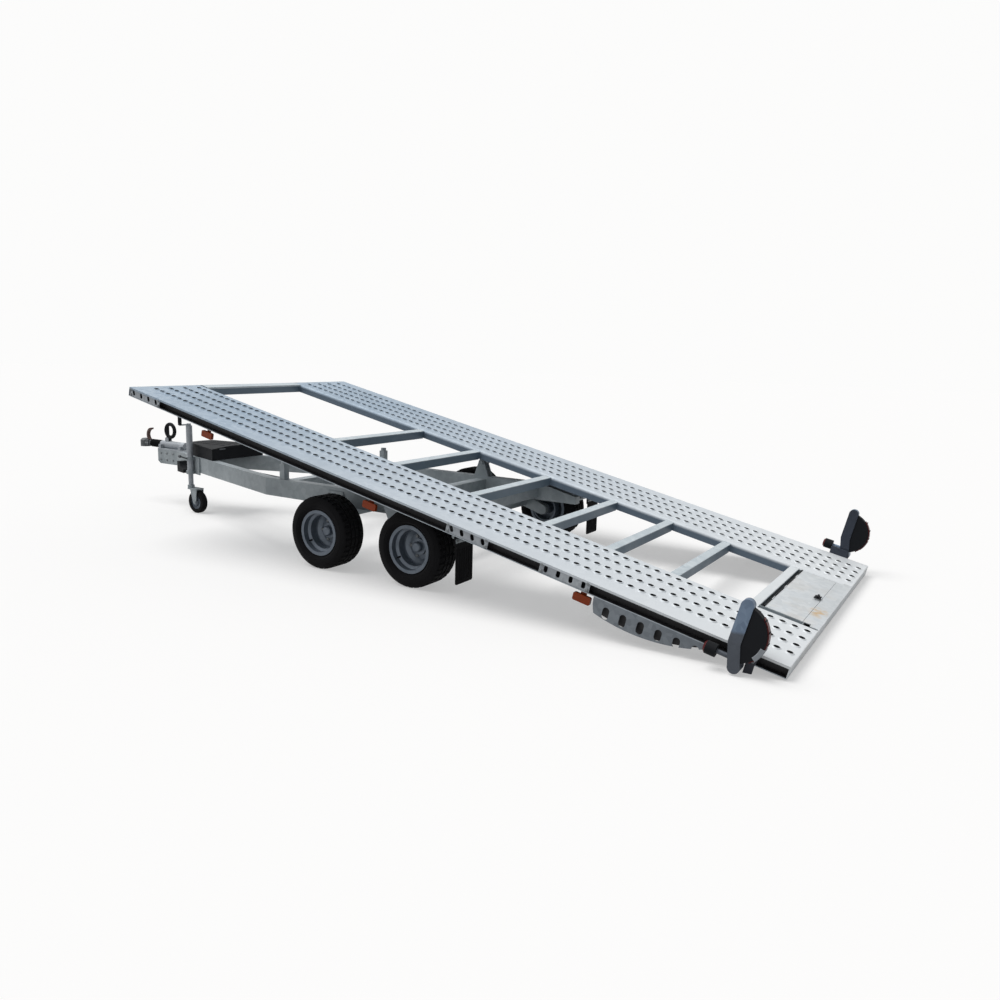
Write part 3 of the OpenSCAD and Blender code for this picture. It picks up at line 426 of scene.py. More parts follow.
def rim_paint():
    """Silver paint on the wheel discs, greyed by brake dust in patches."""
    material, tree, shader = new_material("rim_paint", 0.3)
    grain = place_group(tree, GRAIN, Grain_Scale=260.0, Dust_Scale=16.0)
    mask = math_node(tree, "MULTIPLY", grain.outputs["Dust"], 0.6)
    paint = mix_colours(tree, mask, (0.155, 0.185, 0.225), (0.075, 0.09, 0.11))
    tree.links.new(paint, shader.inputs["Base Color"])
    spread = math_node(tree, "MULTIPLY", grain.outputs["Dust"], 0.2)
    tree.links.new(math_node(tree, "ADD", spread, 0.38), shader.inputs["Roughness"])
    add_bump(tree, shader, grain.outputs["Height"], 0.1, 0.0004)
    return material


def lens(name, colour, deep):
    """Moulded lens with fine prism lines."""
    material, tree, shader = new_material(name)
    wave = add_node(tree, "TexWave", Scale=90.0, Distortion=0.0, bands_direction="Z")
    tree.links.new(object_place(tree), wave.inputs["Vector"])
    tree.links.new(mix_colours(tree, wave.outputs["Fac"], deep, colour), shader.inputs["Base Color"])
    shader.inputs["Roughness"].default_value = 0.35
    shader.inputs["Specular IOR Level"].default_value = 0.2
    add_bump(tree, shader, wave.outputs["Fac"], 0.4, 0.001)
    return material


MATERIALS = {
    "deck": deck_zinc(),
    "frame": frame_zinc(),
    "tube": tube_zinc(),
    "plate": plate_zinc(),
    "sill": sill_zinc(),
    "under": under_shade_zinc(),
    "guard": guard_sky_sheen_and_shade(),
    "cross": cross_zinc(),
    # The rail's inside is painted black as shade; only its outer lip shows zinc
    "rail": shade_blackened(
        "rail_shade_black", (0.40, 0.45, 0.49), (0.54, 0.59, 0.63), DECK_HALF - 0.0022, DECK_HALF - 0.0014
    ),
    # The skid's greys are darkened as painted shade, and it is black behind its outer lip as painted shade
    "skid": shade_blackened(
        "skid_shade_zinc", (0.17, 0.19, 0.215), (0.25, 0.28, 0.31), DECK_HALF - 0.012, DECK_HALF - 0.008
    ),
    # Hole walls: near black, as painted shade inside the collars
    "hole": moulded(
        "hole_wall_shade", (0.006, 0.007, 0.008), (0.02, 0.022, 0.024), rough=0.7, grain_scale=120.0,
    ),
    "nut": moulded(
        "nut_steel", (0.30, 0.32, 0.33), (0.20, 0.20, 0.20),
        rough=0.35, grain_scale=200.0, dust_share=0.5,
    ),
    "rim": rim_paint(),
    "tyre": moulded(
        "tyre_rubber", (0.006, 0.006, 0.007), (0.014, 0.0135, 0.013),
        rough=0.8, grain_scale=300.0, dust_share=0.5, gloss=0.15,
    ),
    "rubber": moulded(
        "soft_rubber", (0.008, 0.008, 0.009), (0.016, 0.0155, 0.015),
        rough=0.8, grain_scale=400.0, gloss=0.15,
    ),
    "plastic": moulded(
        "black_plastic", (0.007, 0.008, 0.010), (0.014, 0.0145, 0.016),
        rough=0.65, grain_scale=700.0, dust_share=0.3, gloss=0.14,
    ),
    "iron": moulded(
        "cast_steel", (0.10, 0.11, 0.12), (0.17, 0.17, 0.16),
        rough=0.5, grain_scale=180.0, dust_share=0.6, bump=0.4,
    ),
    "grip": moulded("brown_grip", (0.09, 0.045, 0.035), (0.14, 0.09, 0.07), rough=0.55),
    "amber": lens("amber_lens", (0.34, 0.055, 0.010), (0.21, 0.030, 0.006)),
    "red": lens("red_lens", (0.13, 0.008, 0.009), (0.05, 0.004, 0.005)),
    "clear": lens("clear_lens", (0.46, 0.48, 0.51), (0.30, 0.33, 0.36)),
}

# Finish of each node of the frame
FINISHES = {
    "deck": ["left_runner", "right_runner"],
    "sill": ["rear_sill", "hatch_lid"],
    "cross": ["crossmembers", "front_beam"],
    "frame": ["hatch_tray", "pivot_lugs"],
    "guard": ["lamp_brackets"],
    "skid": ["rear_skirts"],
    "under": ["stringers", "outriggers"],
    "rail": ["left_rail", "right_rail"],
    "plate": ["lashing_plates", "jockey_tube", "jockey_inner", "overrun_housing"],
    "tube": [
        "left_beam", "right_beam", "left_arm", "right_arm", "chassis_crossbeams", "pivot_posts",
        "rest_posts", "front_axle", "rear_axle", "flap_stays", "nose", "jockey_clamp", "jockey_fork",
    ],
    "rim": ["front_left_rim", "front_right_rim", "rear_left_rim", "rear_right_rim"],
    "tyre": ["front_left_tyre", "front_right_tyre", "rear_left_tyre", "rear_right_tyre"],
    "rubber": ["rear_feet", "mudflaps", "gaiter", "jockey_wheel"],
    "plastic": ["lamp_housings", "storage_box", "box_lid", "chock", "handbrake"],
    "iron": ["coupling_head"],
    "grip": ["coupling_handle"],
    "amber": ["side_markers"],
    "red": ["lamp_lenses"],
}


def finish_nodes():
    for finish, names in FINISHES.items():
        for name in names:
            node = frame["nodes"][name]
            node.data.materials.clear()
            node.data.materials.append(MATERIALS[finish])


# Modelling helpers


def start(primitive, **place):
    """Adds a primitive with nothing else selected, and opens it in edit mode."""
    bpy.ops.object.select_all(action="DESELECT")
    getattr(bpy.ops.mesh, "primitive_" + primitive + "_add")(**place)
    bpy.ops.object.mode_set(mode="EDIT")
    bpy.ops.mesh.select_mode(type="VERT")
    bpy.ops.mesh.select_all(action="SELECT")
    return bpy.context.object


def leave_edit():
    bpy.ops.object.mode_set(mode="OBJECT")


def open_edit(select_mode):
    """Opens the active piece in edit mode with nothing selected."""
    bpy.ops.object.mode_set(mode="EDIT")
    bpy.ops.mesh.select_mode(type=select_mode)
    bpy.ops.mesh.select_all(action="DESELECT")


def faces_up(centre, normal):
    return normal.z > 0.9


def faces_rear(centre, normal):
    return normal.x < -0.9


def pick_faces(piece, wanted):
    """Selects the faces whose middle and normal pass a test, and opens the piece in edit mode."""
    open_edit("FACE")
    leave_edit()
    for face in piece.data.polygons:
        face.select = wanted(face.center, face.normal)
    bpy.ops.object.mode_set(mode="EDIT")


def block(size, middle=None, bevel=None, segments=None):
    """A box, moved to its middle and with its edges bevelled where those are given."""
    piece = start("cube", size=1)
    bpy.ops.transform.resize(value=size)
    if middle:
        bpy.ops.transform.translate(value=middle)
    if bevel:
        bpy.ops.mesh.bevel(offset=bevel, segments=segments)
    leave_edit()
    return piece


def turned(outline, steps, angle=math.tau):
    """A body turned about Y from (radius, offset) points: a vertex is drawn along them, then spun."""
    piece = start("plane", size=0.001)
    bpy.ops.mesh.merge(type="CENTER")
    last = (0, 0)
    for number, point in enumerate(outline):
        move = (point[0] - last[0], point[1] - last[1], 0)
        if number == 0:
            bpy.ops.transform.translate(value=move)
        else:
            bpy.ops.mesh.extrude_region_move(TRANSFORM_OT_translate={"value": move})
        last = point
    bpy.ops.mesh.select_all(action="SELECT")
    bpy.ops.mesh.spin(steps=steps, angle=angle, center=(0, 0, 0), axis=(0, 1, 0))
    bpy.ops.mesh.select_all(action="SELECT")
    bpy.ops.mesh.remove_doubles(threshold=0.00001)
    bpy.ops.mesh.normals_make_consistent(inside=False)
    leave_edit()
    return piece


def settle(piece, matrix):
    """Moves a piece to its place and applies the move to its mesh."""
    bpy.ops.object.select_all(action="DESELECT")
    piece.select_set(True)
    bpy.context.view_layer.objects.active = piece
    piece.matrix_world = matrix
    bpy.ops.object.transform_apply(location=True, rotation=True, scale=True)


def apply_array(piece, count, step):
    """Repeats a piece in a row, as an applied Array."""
    bpy.context.view_layer.objects.active = piece
    row = piece.modifiers.new("row", "ARRAY")
    row.count = count
    row.use_relative_offset = False
    row.use_constant_offset = True
    row.constant_offset_displace = step
    bpy.ops.object.modifier_apply(modifier=row.name)


def scatter(template, places):
    """Copies a template, each copy with its own mesh, to its places and joins them."""
    copies = []
    for place in places:
        copy = template.copy()
        copy.data = template.data.copy()
        scene.collection.objects.link(copy)
        copy.matrix_world = place
        copies.append(copy)
    bpy.data.objects.remove(template)
    bpy.ops.object.select_all(action="DESELECT")
    for copy in copies:
        copy.select_set(True)
    bpy.context.view_layer.objects.active = copies[0]
    bpy.ops.object.transform_apply(location=True, rotation=True, scale=True)
    if len(copies) > 1:
        bpy.ops.object.join()
    return bpy.context.object


def join_pieces(pieces):
    bpy.ops.object.select_all(action="DESELECT")
    for piece in pieces:
        piece.select_set(True)
    bpy.context.view_layer.objects.active = pieces[0]
    bpy.ops.object.join()
    return bpy.context.object


def hand_over(piece, name, body, finish, angle=35):
    """Names a piece, smooths it, gives it its finish, and sets it on its body."""
    bpy.ops.object.select_all(action="DESELECT")
    piece.select_set(True)
    bpy.context.view_layer.objects.active = piece
    piece.name = name
    if not piece.data.materials:
        piece.data.materials.append(MATERIALS[finish])
    bpy.ops.object.shade_smooth_by_angle(angle=math.radians(angle))
    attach(piece, body)
    return piece


# Turns the Y axis of a turned body to face along X, up, or out to the right
FACE_X = Matrix.Rotation(-math.pi / 2, 4, "Z")
FACE_UP = Matrix.Rotation(math.pi / 2, 4, "X")
FACE_RIGHT = Matrix.Rotation(math.pi, 4, "Z")


def at(x, y, z):
    return Matrix.Translation((x, y, z))


def rod_between(first, last, radius):
    """A round rod from one point to another, its ends bevelled by a quarter of its radius."""
    first, last = Vector(first), Vector(last)
    length = (last - first).length
    edge = radius * 0.25
    rim = radius * 0.75
    outline = [(0, 0), (rim, 0), (radius, edge), (radius, length - edge), (rim, length), (0, length)]
    rod = turned(outline, steps=12)
    settle(rod, at(*first) @ (last - first).to_track_quat("Y", "Z").to_matrix().to_4x4())
    return rod


# Runner holes: each has a pressed collar, proud of the tread and drawn down through the sheet

HOLE_REAR = 0.040
HOLE_STEP = 0.060
HOLE_ROWS = 74
HOLE_EDGE = 0.150
HOLE_GAP = 0.116
HOLE_COLUMNS = 4
COLLAR = [
    (0.0222, 0.0001), (0.0180, 0.0056), (0.0156, 0.0052),
    (0.0152, -0.0150), (0.0158, -0.0150), (0.0222, 0.0001),
]
COLLAR_STEPS = 10
# Below this height the collar's faces take the near-black painted shade
COLLAR_SHADE_DEPTH = -0.010


def hole_collars():
    for side, sign in SIDES.items():
        collars = turned(COLLAR, COLLAR_STEPS)
        collars.data.materials.append(MATERIALS["deck"])
        collars.data.materials.append(MATERIALS["hole"])
        # The collar's inner faces and its deep faces get the near-black painted shade
        for face in collars.data.polygons:
            inward = face.normal.x * face.center.x + face.normal.z * face.center.z < 0
            if inward and face.center.y < 0 or face.center.y < COLLAR_SHADE_DEPTH:
                face.material_index = 1
        settle(collars, at(HOLE_REAR, sign * (DECK_HALF - HOLE_EDGE), 0) @ FACE_UP)
        apply_array(collars, HOLE_ROWS, (HOLE_STEP, 0, 0))
        apply_array(collars, HOLE_COLUMNS, (0, -sign * HOLE_GAP, 0))
        settle(collars, DECK)
        hand_over(collars, side + "_hole_collars", "deck", "deck", angle=50)


# Road tyres with a grooved tread, in place of the plain solids

TYRE_HALF = [
    (0.1260, 0.0752), (0.1430, 0.0752), (0.1478, 0.0778), (0.1520, 0.0850), (0.1580, 0.0910),
    (0.1640, 0.0948), (0.1650, 0.0936), (0.1680, 0.0944), (0.1690, 0.0966), (0.1802, 0.0970),
    (0.1920, 0.0945), (0.1935, 0.0928), (0.1965, 0.0918), (0.1980, 0.0920), (0.2035, 0.0891),
    (0.2120, 0.0860), (0.2189, 0.0802), (0.2234, 0.0724), (0.2250, 0.0635), (0.2250, 0.0385),
    (0.2185, 0.0375), (0.2185, 0.0305), (0.2250, 0.0295), (0.2250, 0.0050), (0.2185, 0.0040),
]
TYRE_STEPS = 72
SHOULDER_GROOVES = {"thickness": 0.0035, "depth": -0.0055, "use_individual": False}
RIB_SIPES = {"thickness": 0.0065, "depth": -0.0040, "use_individual": True}


def wheel_middle(wheel):
    low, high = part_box(wheel + "_tyre")
    return (low + high) / 2


def tyre_step(centre):
    """Which of the spin's steps a face of the tyre lies in."""
    return int(math.degrees(math.atan2(centre.z, centre.x)) % 360 / (360 / TYRE_STEPS))


def cut_tread(tyre, inner, outer, least_radius, every, inset):
    """Sinks the tread faces between two offsets from the middle, at every so many steps."""

    def wanted(centre, normal):
        in_band = inner < abs(centre.y) < outer and centre.xz.length > least_radius
        return in_band and tyre_step(centre) % every == 0

    pick_faces(tyre, wanted)
    bpy.ops.mesh.inset(**inset)
    leave_edit()


def treaded_tyres():
    mirrored = [(radius, -offset) for radius, offset in reversed(TYRE_HALF)]
    tyre = turned(TYRE_HALF + mirrored + TYRE_HALF[:1], TYRE_STEPS)
    cut_tread(tyre, inner=0.039, outer=0.080, least_radius=0.2195, every=2, inset=SHOULDER_GROOVES)
    cut_tread(tyre, inner=0.010, outer=0.028, least_radius=0.2235, every=3, inset=RIB_SIPES)
    for wheel in WHEELS:
        copy = tyre.copy()
        copy.data = tyre.data.copy()
        scene.collection.objects.link(copy)
        settle(copy, at(*wheel_middle(wheel)))
        hand_over(copy, wheel + "_treaded_tyre", wheel + "_wheel", "tyre", angle=30)
        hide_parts(wheel + "_tyre")
    bpy.data.objects.remove(tyre)


# Wheel nuts round each hub, and a valve in each rim

NUT = [(0.0, 0.014), (0.006, 0.014), (0.0095, 0.012), (0.0105, 0.001), (0.0125, 0.0), (0.0, 0.0)]
VALVE = [(0.0, 0.030), (0.0035, 0.030), (0.0035, 0.020), (0.0045, 0.018), (0.0055, 0.0), (0.0, 0.0)]
HEX = 6
NUT_COUNT = 5
NUT_RING = 0.061
DISC_INSET = 0.030
VALVE_RING = 0.112
VALVE_OUT = 0.036
VALVE_TURN = 0.6


def wheel_fasteners():
    for wheel in WHEELS:
        turn = FACE_RIGHT if wheel.endswith("right") else Matrix()
        middle = at(*wheel_middle(wheel)) @ turn
        nut_places = []
        for number in range(NUT_COUNT):
            spoke = Matrix.Rotation(math.tau * number / NUT_COUNT, 4, "Y")
            nut_places.append(middle @ spoke @ at(NUT_RING, -DISC_INSET, 0))
        nuts = scatter(turned(NUT, HEX), nut_places)
        hand_over(nuts, wheel + "_nuts", wheel + "_wheel", "nut")
        valve_place = middle @ Matrix.Rotation(VALVE_TURN, 4, "Y") @ at(VALVE_RING, VALVE_OUT, 0)
        valve = scatter(turned(VALVE, steps=10), [valve_place])
        hand_over(valve, wheel + "_valve", wheel + "_wheel", "rubber")


# Fasteners on the platform: at the ends of the lashing plates, and on the lamp brackets

BOLT = [(0.0, 0.0065), (0.0070, 0.0065), (0.0085, 0.0052), (0.0085, 0.0), (0.0, 0.0)]
# Rear end and length of each lashing plate
LASHING = ((0.963, 0.282), (1.556, 0.266), (4.186, 0.306))
LASHING_INSET = 0.012
LASHING_SINK = 0.0043
LASHING_HEIGHTS = (-0.014, -0.046)
BRACKET_BOLTS = (0.150, 0.232)
BRACKET_OUT = 0.010
BRACKET_BOLT_HEIGHT = -0.040


def outward(sign):
    """Turns a fastener that faces +Y to face out of its own side."""
    return Matrix() if sign > 0 else FACE_RIGHT


def platform_bolts():
    places = []
    for sign in SIDES.values():
        plate_y = sign * (DECK_HALF - LASHING_SINK)
        for rear, length in LASHING:
            for s in (rear + LASHING_INSET, rear + length - LASHING_INSET):
                for height in LASHING_HEIGHTS:
                    places.append(DECK @ at(s, plate_y, height) @ outward(sign))
        bracket_y = sign * (DECK_HALF + BRACKET_OUT)
        for s in BRACKET_BOLTS:
            places.append(DECK @ at(s, bracket_y, BRACKET_BOLT_HEIGHT) @ outward(sign))
    bolts = scatter(turned(BOLT, HEX), places)
    hand_over(bolts, "platform_bolts", "deck", "nut")


# Nuts on the ends of the pivot's pins

PIN_NUT = [
    (0.0, 0.016), (0.015, 0.016), (0.017, 0.013), (0.024, 0.012), (0.026, 0.010), (0.026, 0.0), (0.0, 0.0),
]
PIN_DROP = 0.024


def pivot_nuts():
    low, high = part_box("pivot_posts")
    x = (low.x + high.x) / 2
    places = [at(x, sign * high.y, high.z - PIN_DROP) @ outward(sign) for sign in SIDES.values()]
    nuts = scatter(turned(PIN_NUT, HEX), places)
    hand_over(nuts, "pivot_nuts", "chassis", "nut")


# Plates that bolt each axle to the outer faces of the beams

AXLE_BACK = 0.044
AXLE_PLATE = (0.170, 0.006, 0.095)
AXLE_PLATE_TAPER = (0.7, 1, 1)
AXLE_PLATE_OUT = 0.0035
AXLE_PLATE_LIFT = 0.002
AXLE_BOLT_OUT = 0.006
AXLE_BOLTS_X = (-0.060, 0.060)
AXLE_BOLTS_Z = (0.024, 0.072)


def axle_middle(axle):
    """Where an axle's tube lies, behind the front of its node."""
    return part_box(axle)[1].x - AXLE_BACK


def axle_plates():
    low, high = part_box("left_beam")
    plates = []
    bolts = []
    for axle in ("front_axle", "rear_axle"):
        x = axle_middle(axle)
        for sign in SIDES.values():
            plate_z = low.z + AXLE_PLATE[2] / 2 + AXLE_PLATE_LIFT
            plates.append(at(x, sign * (high.y + AXLE_PLATE_OUT), plate_z))
            bolt_y = sign * (high.y + AXLE_BOLT_OUT)
            for dx in AXLE_BOLTS_X:
                for dz in AXLE_BOLTS_Z:
                    bolts.append(at(x + dx, bolt_y, low.z + dz) @ outward(sign))
    plate = block(AXLE_PLATE)
    pick_faces(plate, faces_up)
    bpy.ops.transform.resize(value=AXLE_PLATE_TAPER)
    bpy.ops.mesh.select_all(action="SELECT")
    bpy.ops.mesh.bevel(offset=0.002, segments=2)
    leave_edit()
    hand_over(scatter(plate, plates), "axle_plates", "chassis", "tube")
    hand_over(scatter(turned(BOLT, HEX), bolts), "axle_bolts", "chassis", "nut")


# Brake linkage: the overrun's pull rod to a yoke at the front axle, and rods from there to both axles

PULL_START = 0.02
PULL_Z = 0.385
PULL_R = 0.006
YOKE_AHEAD = 0.11
YOKE_Z = 0.292
YOKE_HALF = 0.09
YOKE_R = 0.009
BRAKE_ROD_Y = 0.08
BRAKE_ROD_Z = 0.285
BRAKE_ROD_R = 0.005
BRAKE_ROD_END = 0.041


def brake_rods():
    front = axle_middle("front_axle")
    rear = axle_middle("rear_axle")
    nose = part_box("nose")[0].x
    yoke = Vector((front + YOKE_AHEAD, 0, YOKE_Z))
    half = Vector((0, YOKE_HALF, 0))
    rods = [
        rod_between((nose - PULL_START, 0, PULL_Z), yoke, PULL_R),
        rod_between(yoke - half, yoke + half, YOKE_R),
    ]
    for y in (-BRAKE_ROD_Y, BRAKE_ROD_Y):
        front_end = (front + BRAKE_ROD_END, y, BRAKE_ROD_Z)
        rods.append(rod_between(yoke + Vector((0, y, 0)), front_end, BRAKE_ROD_R))
        front_start = (front - BRAKE_ROD_END, y, BRAKE_ROD_Z)
        rear_end = (rear + BRAKE_ROD_END, y, BRAKE_ROD_Z)
        rods.append(rod_between(front_start, rear_end, BRAKE_ROD_R))
    hand_over(join_pieces(rods), "brake_rods", "chassis", "iron")


# Tail lamps: bars across each bowed lens and a clear reversing window low on it

# Side, its sign, and the station and height that each lamp unit is built from
LAMP_UNITS = (("left", 1, 0.209, -0.104), ("right", -1, 0.156, -0.018))
# Middle of the lens's bow from there
BOW_S = 0.035
BOW_UP = 0.174
LAMP_MIDDLE_Y = 0.041
LENS_BAR = [
    (0.1350, -0.0175), (0.1382, -0.0175), (0.1382, 0.0115), (0.1350, 0.0115), (0.1350, -0.0175),
]
BAR_SPAN = 2.5
BAR_HEADINGS = (136, 158, 180, 230)
WINDOW = [
    (0.117, 0.0240), (0.117, 0.0315), (0.119, 0.0330), (0.1370, 0.0330), (0.1390, 0.0310),
    (0.1390, -0.0120), (0.1345, -0.0120), (0.1345, 0.0240), (0.117, 0.0240),
]
WINDOW_SPAN = 28
WINDOW_HEADING = 203
ARC_STEPS = 6


def lens_arc(outline, span, heading):
    """A short turned arc whose middle points to a heading in the platform's upright plane."""
    arc = turned(outline, ARC_STEPS, math.radians(span))
    open_edit("EDGE")
    bpy.ops.mesh.select_non_manifold()
    bpy.ops.mesh.edge_face_add()
    bpy.ops.mesh.select_all(action="SELECT")
    bpy.ops.mesh.normals_make_consistent(inside=False)
    leave_edit()
    middle = sum((v.co for v in arc.data.vertices), Vector()) / len(arc.data.vertices)
    settle(arc, Matrix.Rotation(math.atan2(middle.z, middle.x) - math.radians(heading), 4, "Y"))
    return arc


def lamp_windows():
    for side, sign, rear, foot in LAMP_UNITS:
        place = DECK @ at(rear + BOW_S, sign * (DECK_HALF + LAMP_MIDDLE_Y), foot + BOW_UP)
        bars = join_pieces([lens_arc(LENS_BAR, BAR_SPAN, heading) for heading in BAR_HEADINGS])
        settle(bars, place)
        hand_over(bars, side + "_lens_bars", "deck", "plastic")
        outline = [(radius, sign * offset) for radius, offset in WINDOW]
        window = lens_arc(outline, WINDOW_SPAN, WINDOW_HEADING)
        settle(window, place)
        hand_over(window, side + "_reversing_window", "deck", "clear")


# Hatch: a black turn latch on the lid and a rod through its hinge

LATCH = [(0.0, 0.0125), (0.014, 0.0125), (0.017, 0.0105), (0.018, 0.0), (0.0, 0.0)]
LATCH_S = 0.106
LATCH_UP = 0.0005
KEY = (0.012, 0.050, 0.009)
KEY_UP = 0.0165
STRAP = (0.034, 0.060, 0.003)
STRAP_UP = 0.0094
HINGE_S = 0.281
HINGE_HALF = 0.425
HINGE_R = 0.0045


def hatch_fittings():
    boss = turned(LATCH, steps=20)
    settle(boss, at(LATCH_S, 0, LATCH_UP) @ FACE_UP)
    key = block(KEY, (LATCH_S, 0, KEY_UP), bevel=0.003, segments=2)
    strap = block(STRAP, (LATCH_S, 0, STRAP_UP), bevel=0.001, segments=1)
    latch = join_pieces([boss, key, strap])
    settle(latch, DECK)
    hand_over(latch, "hatch_latch", "hatch", "plastic")
    rod = rod_between((HINGE_S, -HINGE_HALF, 0.0), (HINGE_S, HINGE_HALF, 0.0), HINGE_R)
    settle(rod, DECK)
    hand_over(rod, "hatch_hinge_rod", "hatch", "plastic")


# Handbrake: a round bar loop on its pivot boss, in place of the plain solid

LOOP_BAR = 0.0150
STEM_R = 0.0125
STEM_BACK = 0.036
STEM_INSET = 0.020
BOSS = [
    (0.0, 0.0125), (0.013, 0.0125), (0.018, 0.0105), (0.018, -0.0105), (0.013, -0.0125), (0.0, -0.0125),
]
BOSS_BACK = 0.040
BOSS_UP = 0.0185


def brake_loop():
    low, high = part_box("handbrake")
    outer = (high.x - low.x) / 2
    bow = start(
        "torus", major_segments=40, minor_segments=12,
        major_radius=outer - LOOP_BAR, minor_radius=LOOP_BAR,
    )
    leave_edit()
    settle(bow, at(low.x + outer, 0, high.z - outer) @ FACE_UP)
    stem_x = high.x - STEM_BACK
    stem = rod_between((stem_x, 0, low.z + STEM_INSET), (stem_x, 0, high.z - STEM_INSET), STEM_R)
    boss = turned(BOSS, steps=24)
    settle(boss, at(high.x - BOSS_BACK, 0, low.z + BOSS_UP))
    loop = join_pieces([bow, stem, boss])
    hand_over(loop, "brake_loop", "chassis", "plastic")
    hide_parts("handbrake")


# Jockey: grey wheel centre, black crank sleeve and a clamp lever

WHEEL_CENTRE = [
    (0.0105, 0.0265), (0.020, 0.0265), (0.024, 0.0245), (0.030, 0.0262), (0.036, 0.0150), (0.050, 0.0105),
    (0.0560, 0.0120), (0.0575, 0.0180), (0.0575, 0.0088), (0.0105, 0.0088), (0.0105, 0.0265),
]
SLEEVE = [
    (0.0112, 0.0), (0.0145, 0.002), (0.0140, 0.012), (0.0150, 0.030), (0.0142, 0.055), (0.0155, 0.070),
    (0.0130, 0.0815), (0.0, 0.083), (0.0, 0.0803), (0.0112, 0.0803), (0.0112, 0.0),
]
SLEEVE_OUT = 0.084
SLEEVE_DROP = 0.080
LEVER = [
    (0.0, 0.0), (0.006, 0.0), (0.006, 0.060), (0.011, 0.064), (0.013, 0.072), (0.010, 0.080), (0.0, 0.083),
]
LEVER_OUT = 0.030
LEVER_DROP = 0.013
LEVER_RISE = 0.35


def jockey_fittings():
    low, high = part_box("jockey_wheel")
    middle = (low + high) / 2
    discs = scatter(turned(WHEEL_CENTRE, steps=36), [at(*middle), at(*middle) @ FACE_RIGHT])
    hand_over(discs, "jockey_wheel_centre", "jockey_wheel", "rim")
    low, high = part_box("jockey_inner")
    stem_x = (low.x + high.x) / 2
    stem_y = (low.y + high.y) / 2
    tube_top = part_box("jockey_tube")[1].z
    sleeve = turned(SLEEVE, steps=20)
    settle(sleeve, at(stem_x, stem_y + SLEEVE_OUT, tube_top - SLEEVE_DROP) @ FACE_UP)
    hand_over(sleeve, "crank_sleeve", "chassis", "plastic")
    clamp_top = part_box("jockey_clamp")[1].z
    lever = turned(LEVER, steps=14)
    lever_place = at(stem_x, stem_y + LEVER_OUT, clamp_top - LEVER_DROP)
    settle(lever, lever_place @ Matrix.Rotation(LEVER_RISE, 4, "X"))
    hand_over(lever, "clamp_lever", "chassis", "iron")


# Mudflaps: ribs down the rear face and a clamping strip with its bolts

FLAP_MIDDLE = 0.0975
FLAP_RIBS = 7
FLAP_RIB = (0.0024, 0.007, 0.180)
FLAP_RIB_TAPER = (1, 0.45, 0.98)
FLAP_RIB_STEP = 0.022
FLAP_RIB_OUT = 0.0012
FLAP_RIB_UP = 0.110
STRIP = (0.004, 0.180, 0.028)
STRIP_OUT = 0.0022
STRIP_DROP = 0.030
STRIP_BOLTS = (-0.075, -0.025, 0.025, 0.075)
STRIP_BOLT_OUT = 0.0040


def flap_ribs():
    low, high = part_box("mudflaps")
    wheel_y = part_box("front_left_tyre")[0].y + FLAP_MIDDLE
    strip_z = high.z - STRIP_DROP
    ribs = []
    strips = []
    bolts = []
    for sign in SIDES.values():
        for number in range(FLAP_RIBS):
            y = sign * wheel_y + (number - (FLAP_RIBS - 1) / 2) * FLAP_RIB_STEP
            ribs.append(at(low.x - FLAP_RIB_OUT, y, low.z + FLAP_RIB_UP))
        strips.append(at(low.x - STRIP_OUT, sign * wheel_y, strip_z))
        for dy in STRIP_BOLTS:
            place = at(low.x - STRIP_BOLT_OUT, sign * wheel_y + dy, strip_z)
            bolts.append(place @ FACE_X @ FACE_RIGHT)
    rib = block(FLAP_RIB)
    pick_faces(rib, faces_rear)
    bpy.ops.transform.resize(value=FLAP_RIB_TAPER)
    leave_edit()
    hand_over(scatter(rib, ribs), "flap_ribs", "chassis", "rubber")
    strip = block(STRIP, bevel=0.0012, segments=2)
    hand_over(scatter(strip, strips), "flap_strips", "chassis", "tube")
    hand_over(scatter(turned(BOLT, HEX), bolts), "flap_bolts", "chassis", "nut")


# Storage box: pressed ribs on the bowed lid, a front catch and hinge knuckles at the back

LID_RIB = (0.34, 0.018, 0.006)
LID_RIB_TAPER = (0.965, 0.55, 1)
LID_RIBS_Y = (-0.09, -0.03, 0.03, 0.09)
LID_RIB_SINK = 0.0005
LID_BOW_R = 2.2
CATCH = (0.010, 0.044, 0.034)
CATCH_OUT = 0.0055
CATCH_UP = 0.002
KNUCKLES_Y = (-0.16, 0.16)
KNUCKLE_HALF = 0.028
KNUCKLE_R = 0.0055


def box_fittings():
    low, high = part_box("box_lid")
    ribs = []
    for y in LID_RIBS_Y:
        sink = LID_RIB_SINK + y * y / (2 * LID_BOW_R)
        ribs.append(at((low.x + high.x) / 2, y, high.z - sink))
    rib = block(LID_RIB)
    pick_faces(rib, faces_up)
    bpy.ops.transform.resize(value=LID_RIB_TAPER)
    bpy.ops.mesh.bevel(offset=0.0015, segments=2)
    leave_edit()
    hand_over(scatter(rib, ribs), "lid_ribs", "box_lid", "plastic")
    catch = block(CATCH, bevel=0.003, segments=3)
    settle(catch, at(high.x + CATCH_OUT, 0, low.z + CATCH_UP))
    hand_over(catch, "lid_catch", "box_lid", "iron")
    hinge = next(joint for joint in frame["joints"] if joint["name"] == "box_lid_hinge")
    x, _, z = hinge["pos_m"]
    knuckles = [
        rod_between((x, y - KNUCKLE_HALF, z), (x, y + KNUCKLE_HALF, z), KNUCKLE_R) for y in KNUCKLES_Y
    ]
    hand_over(join_pieces(knuckles), "lid_knuckles", "box_lid", "iron")


# Coupling: clamp bolts through the shank of the head, and bolts in the sides of the nose

HEAD_BOLTS_X = (0.028, 0.050)
HEAD_BOLT_Y = 0.0295
HEAD_BOLT_UP = 0.034
NOSE_BOLTS_X = (0.050, 0.130, 0.205)
NOSE_BOLT_DROPS = (0.030, 0.085)


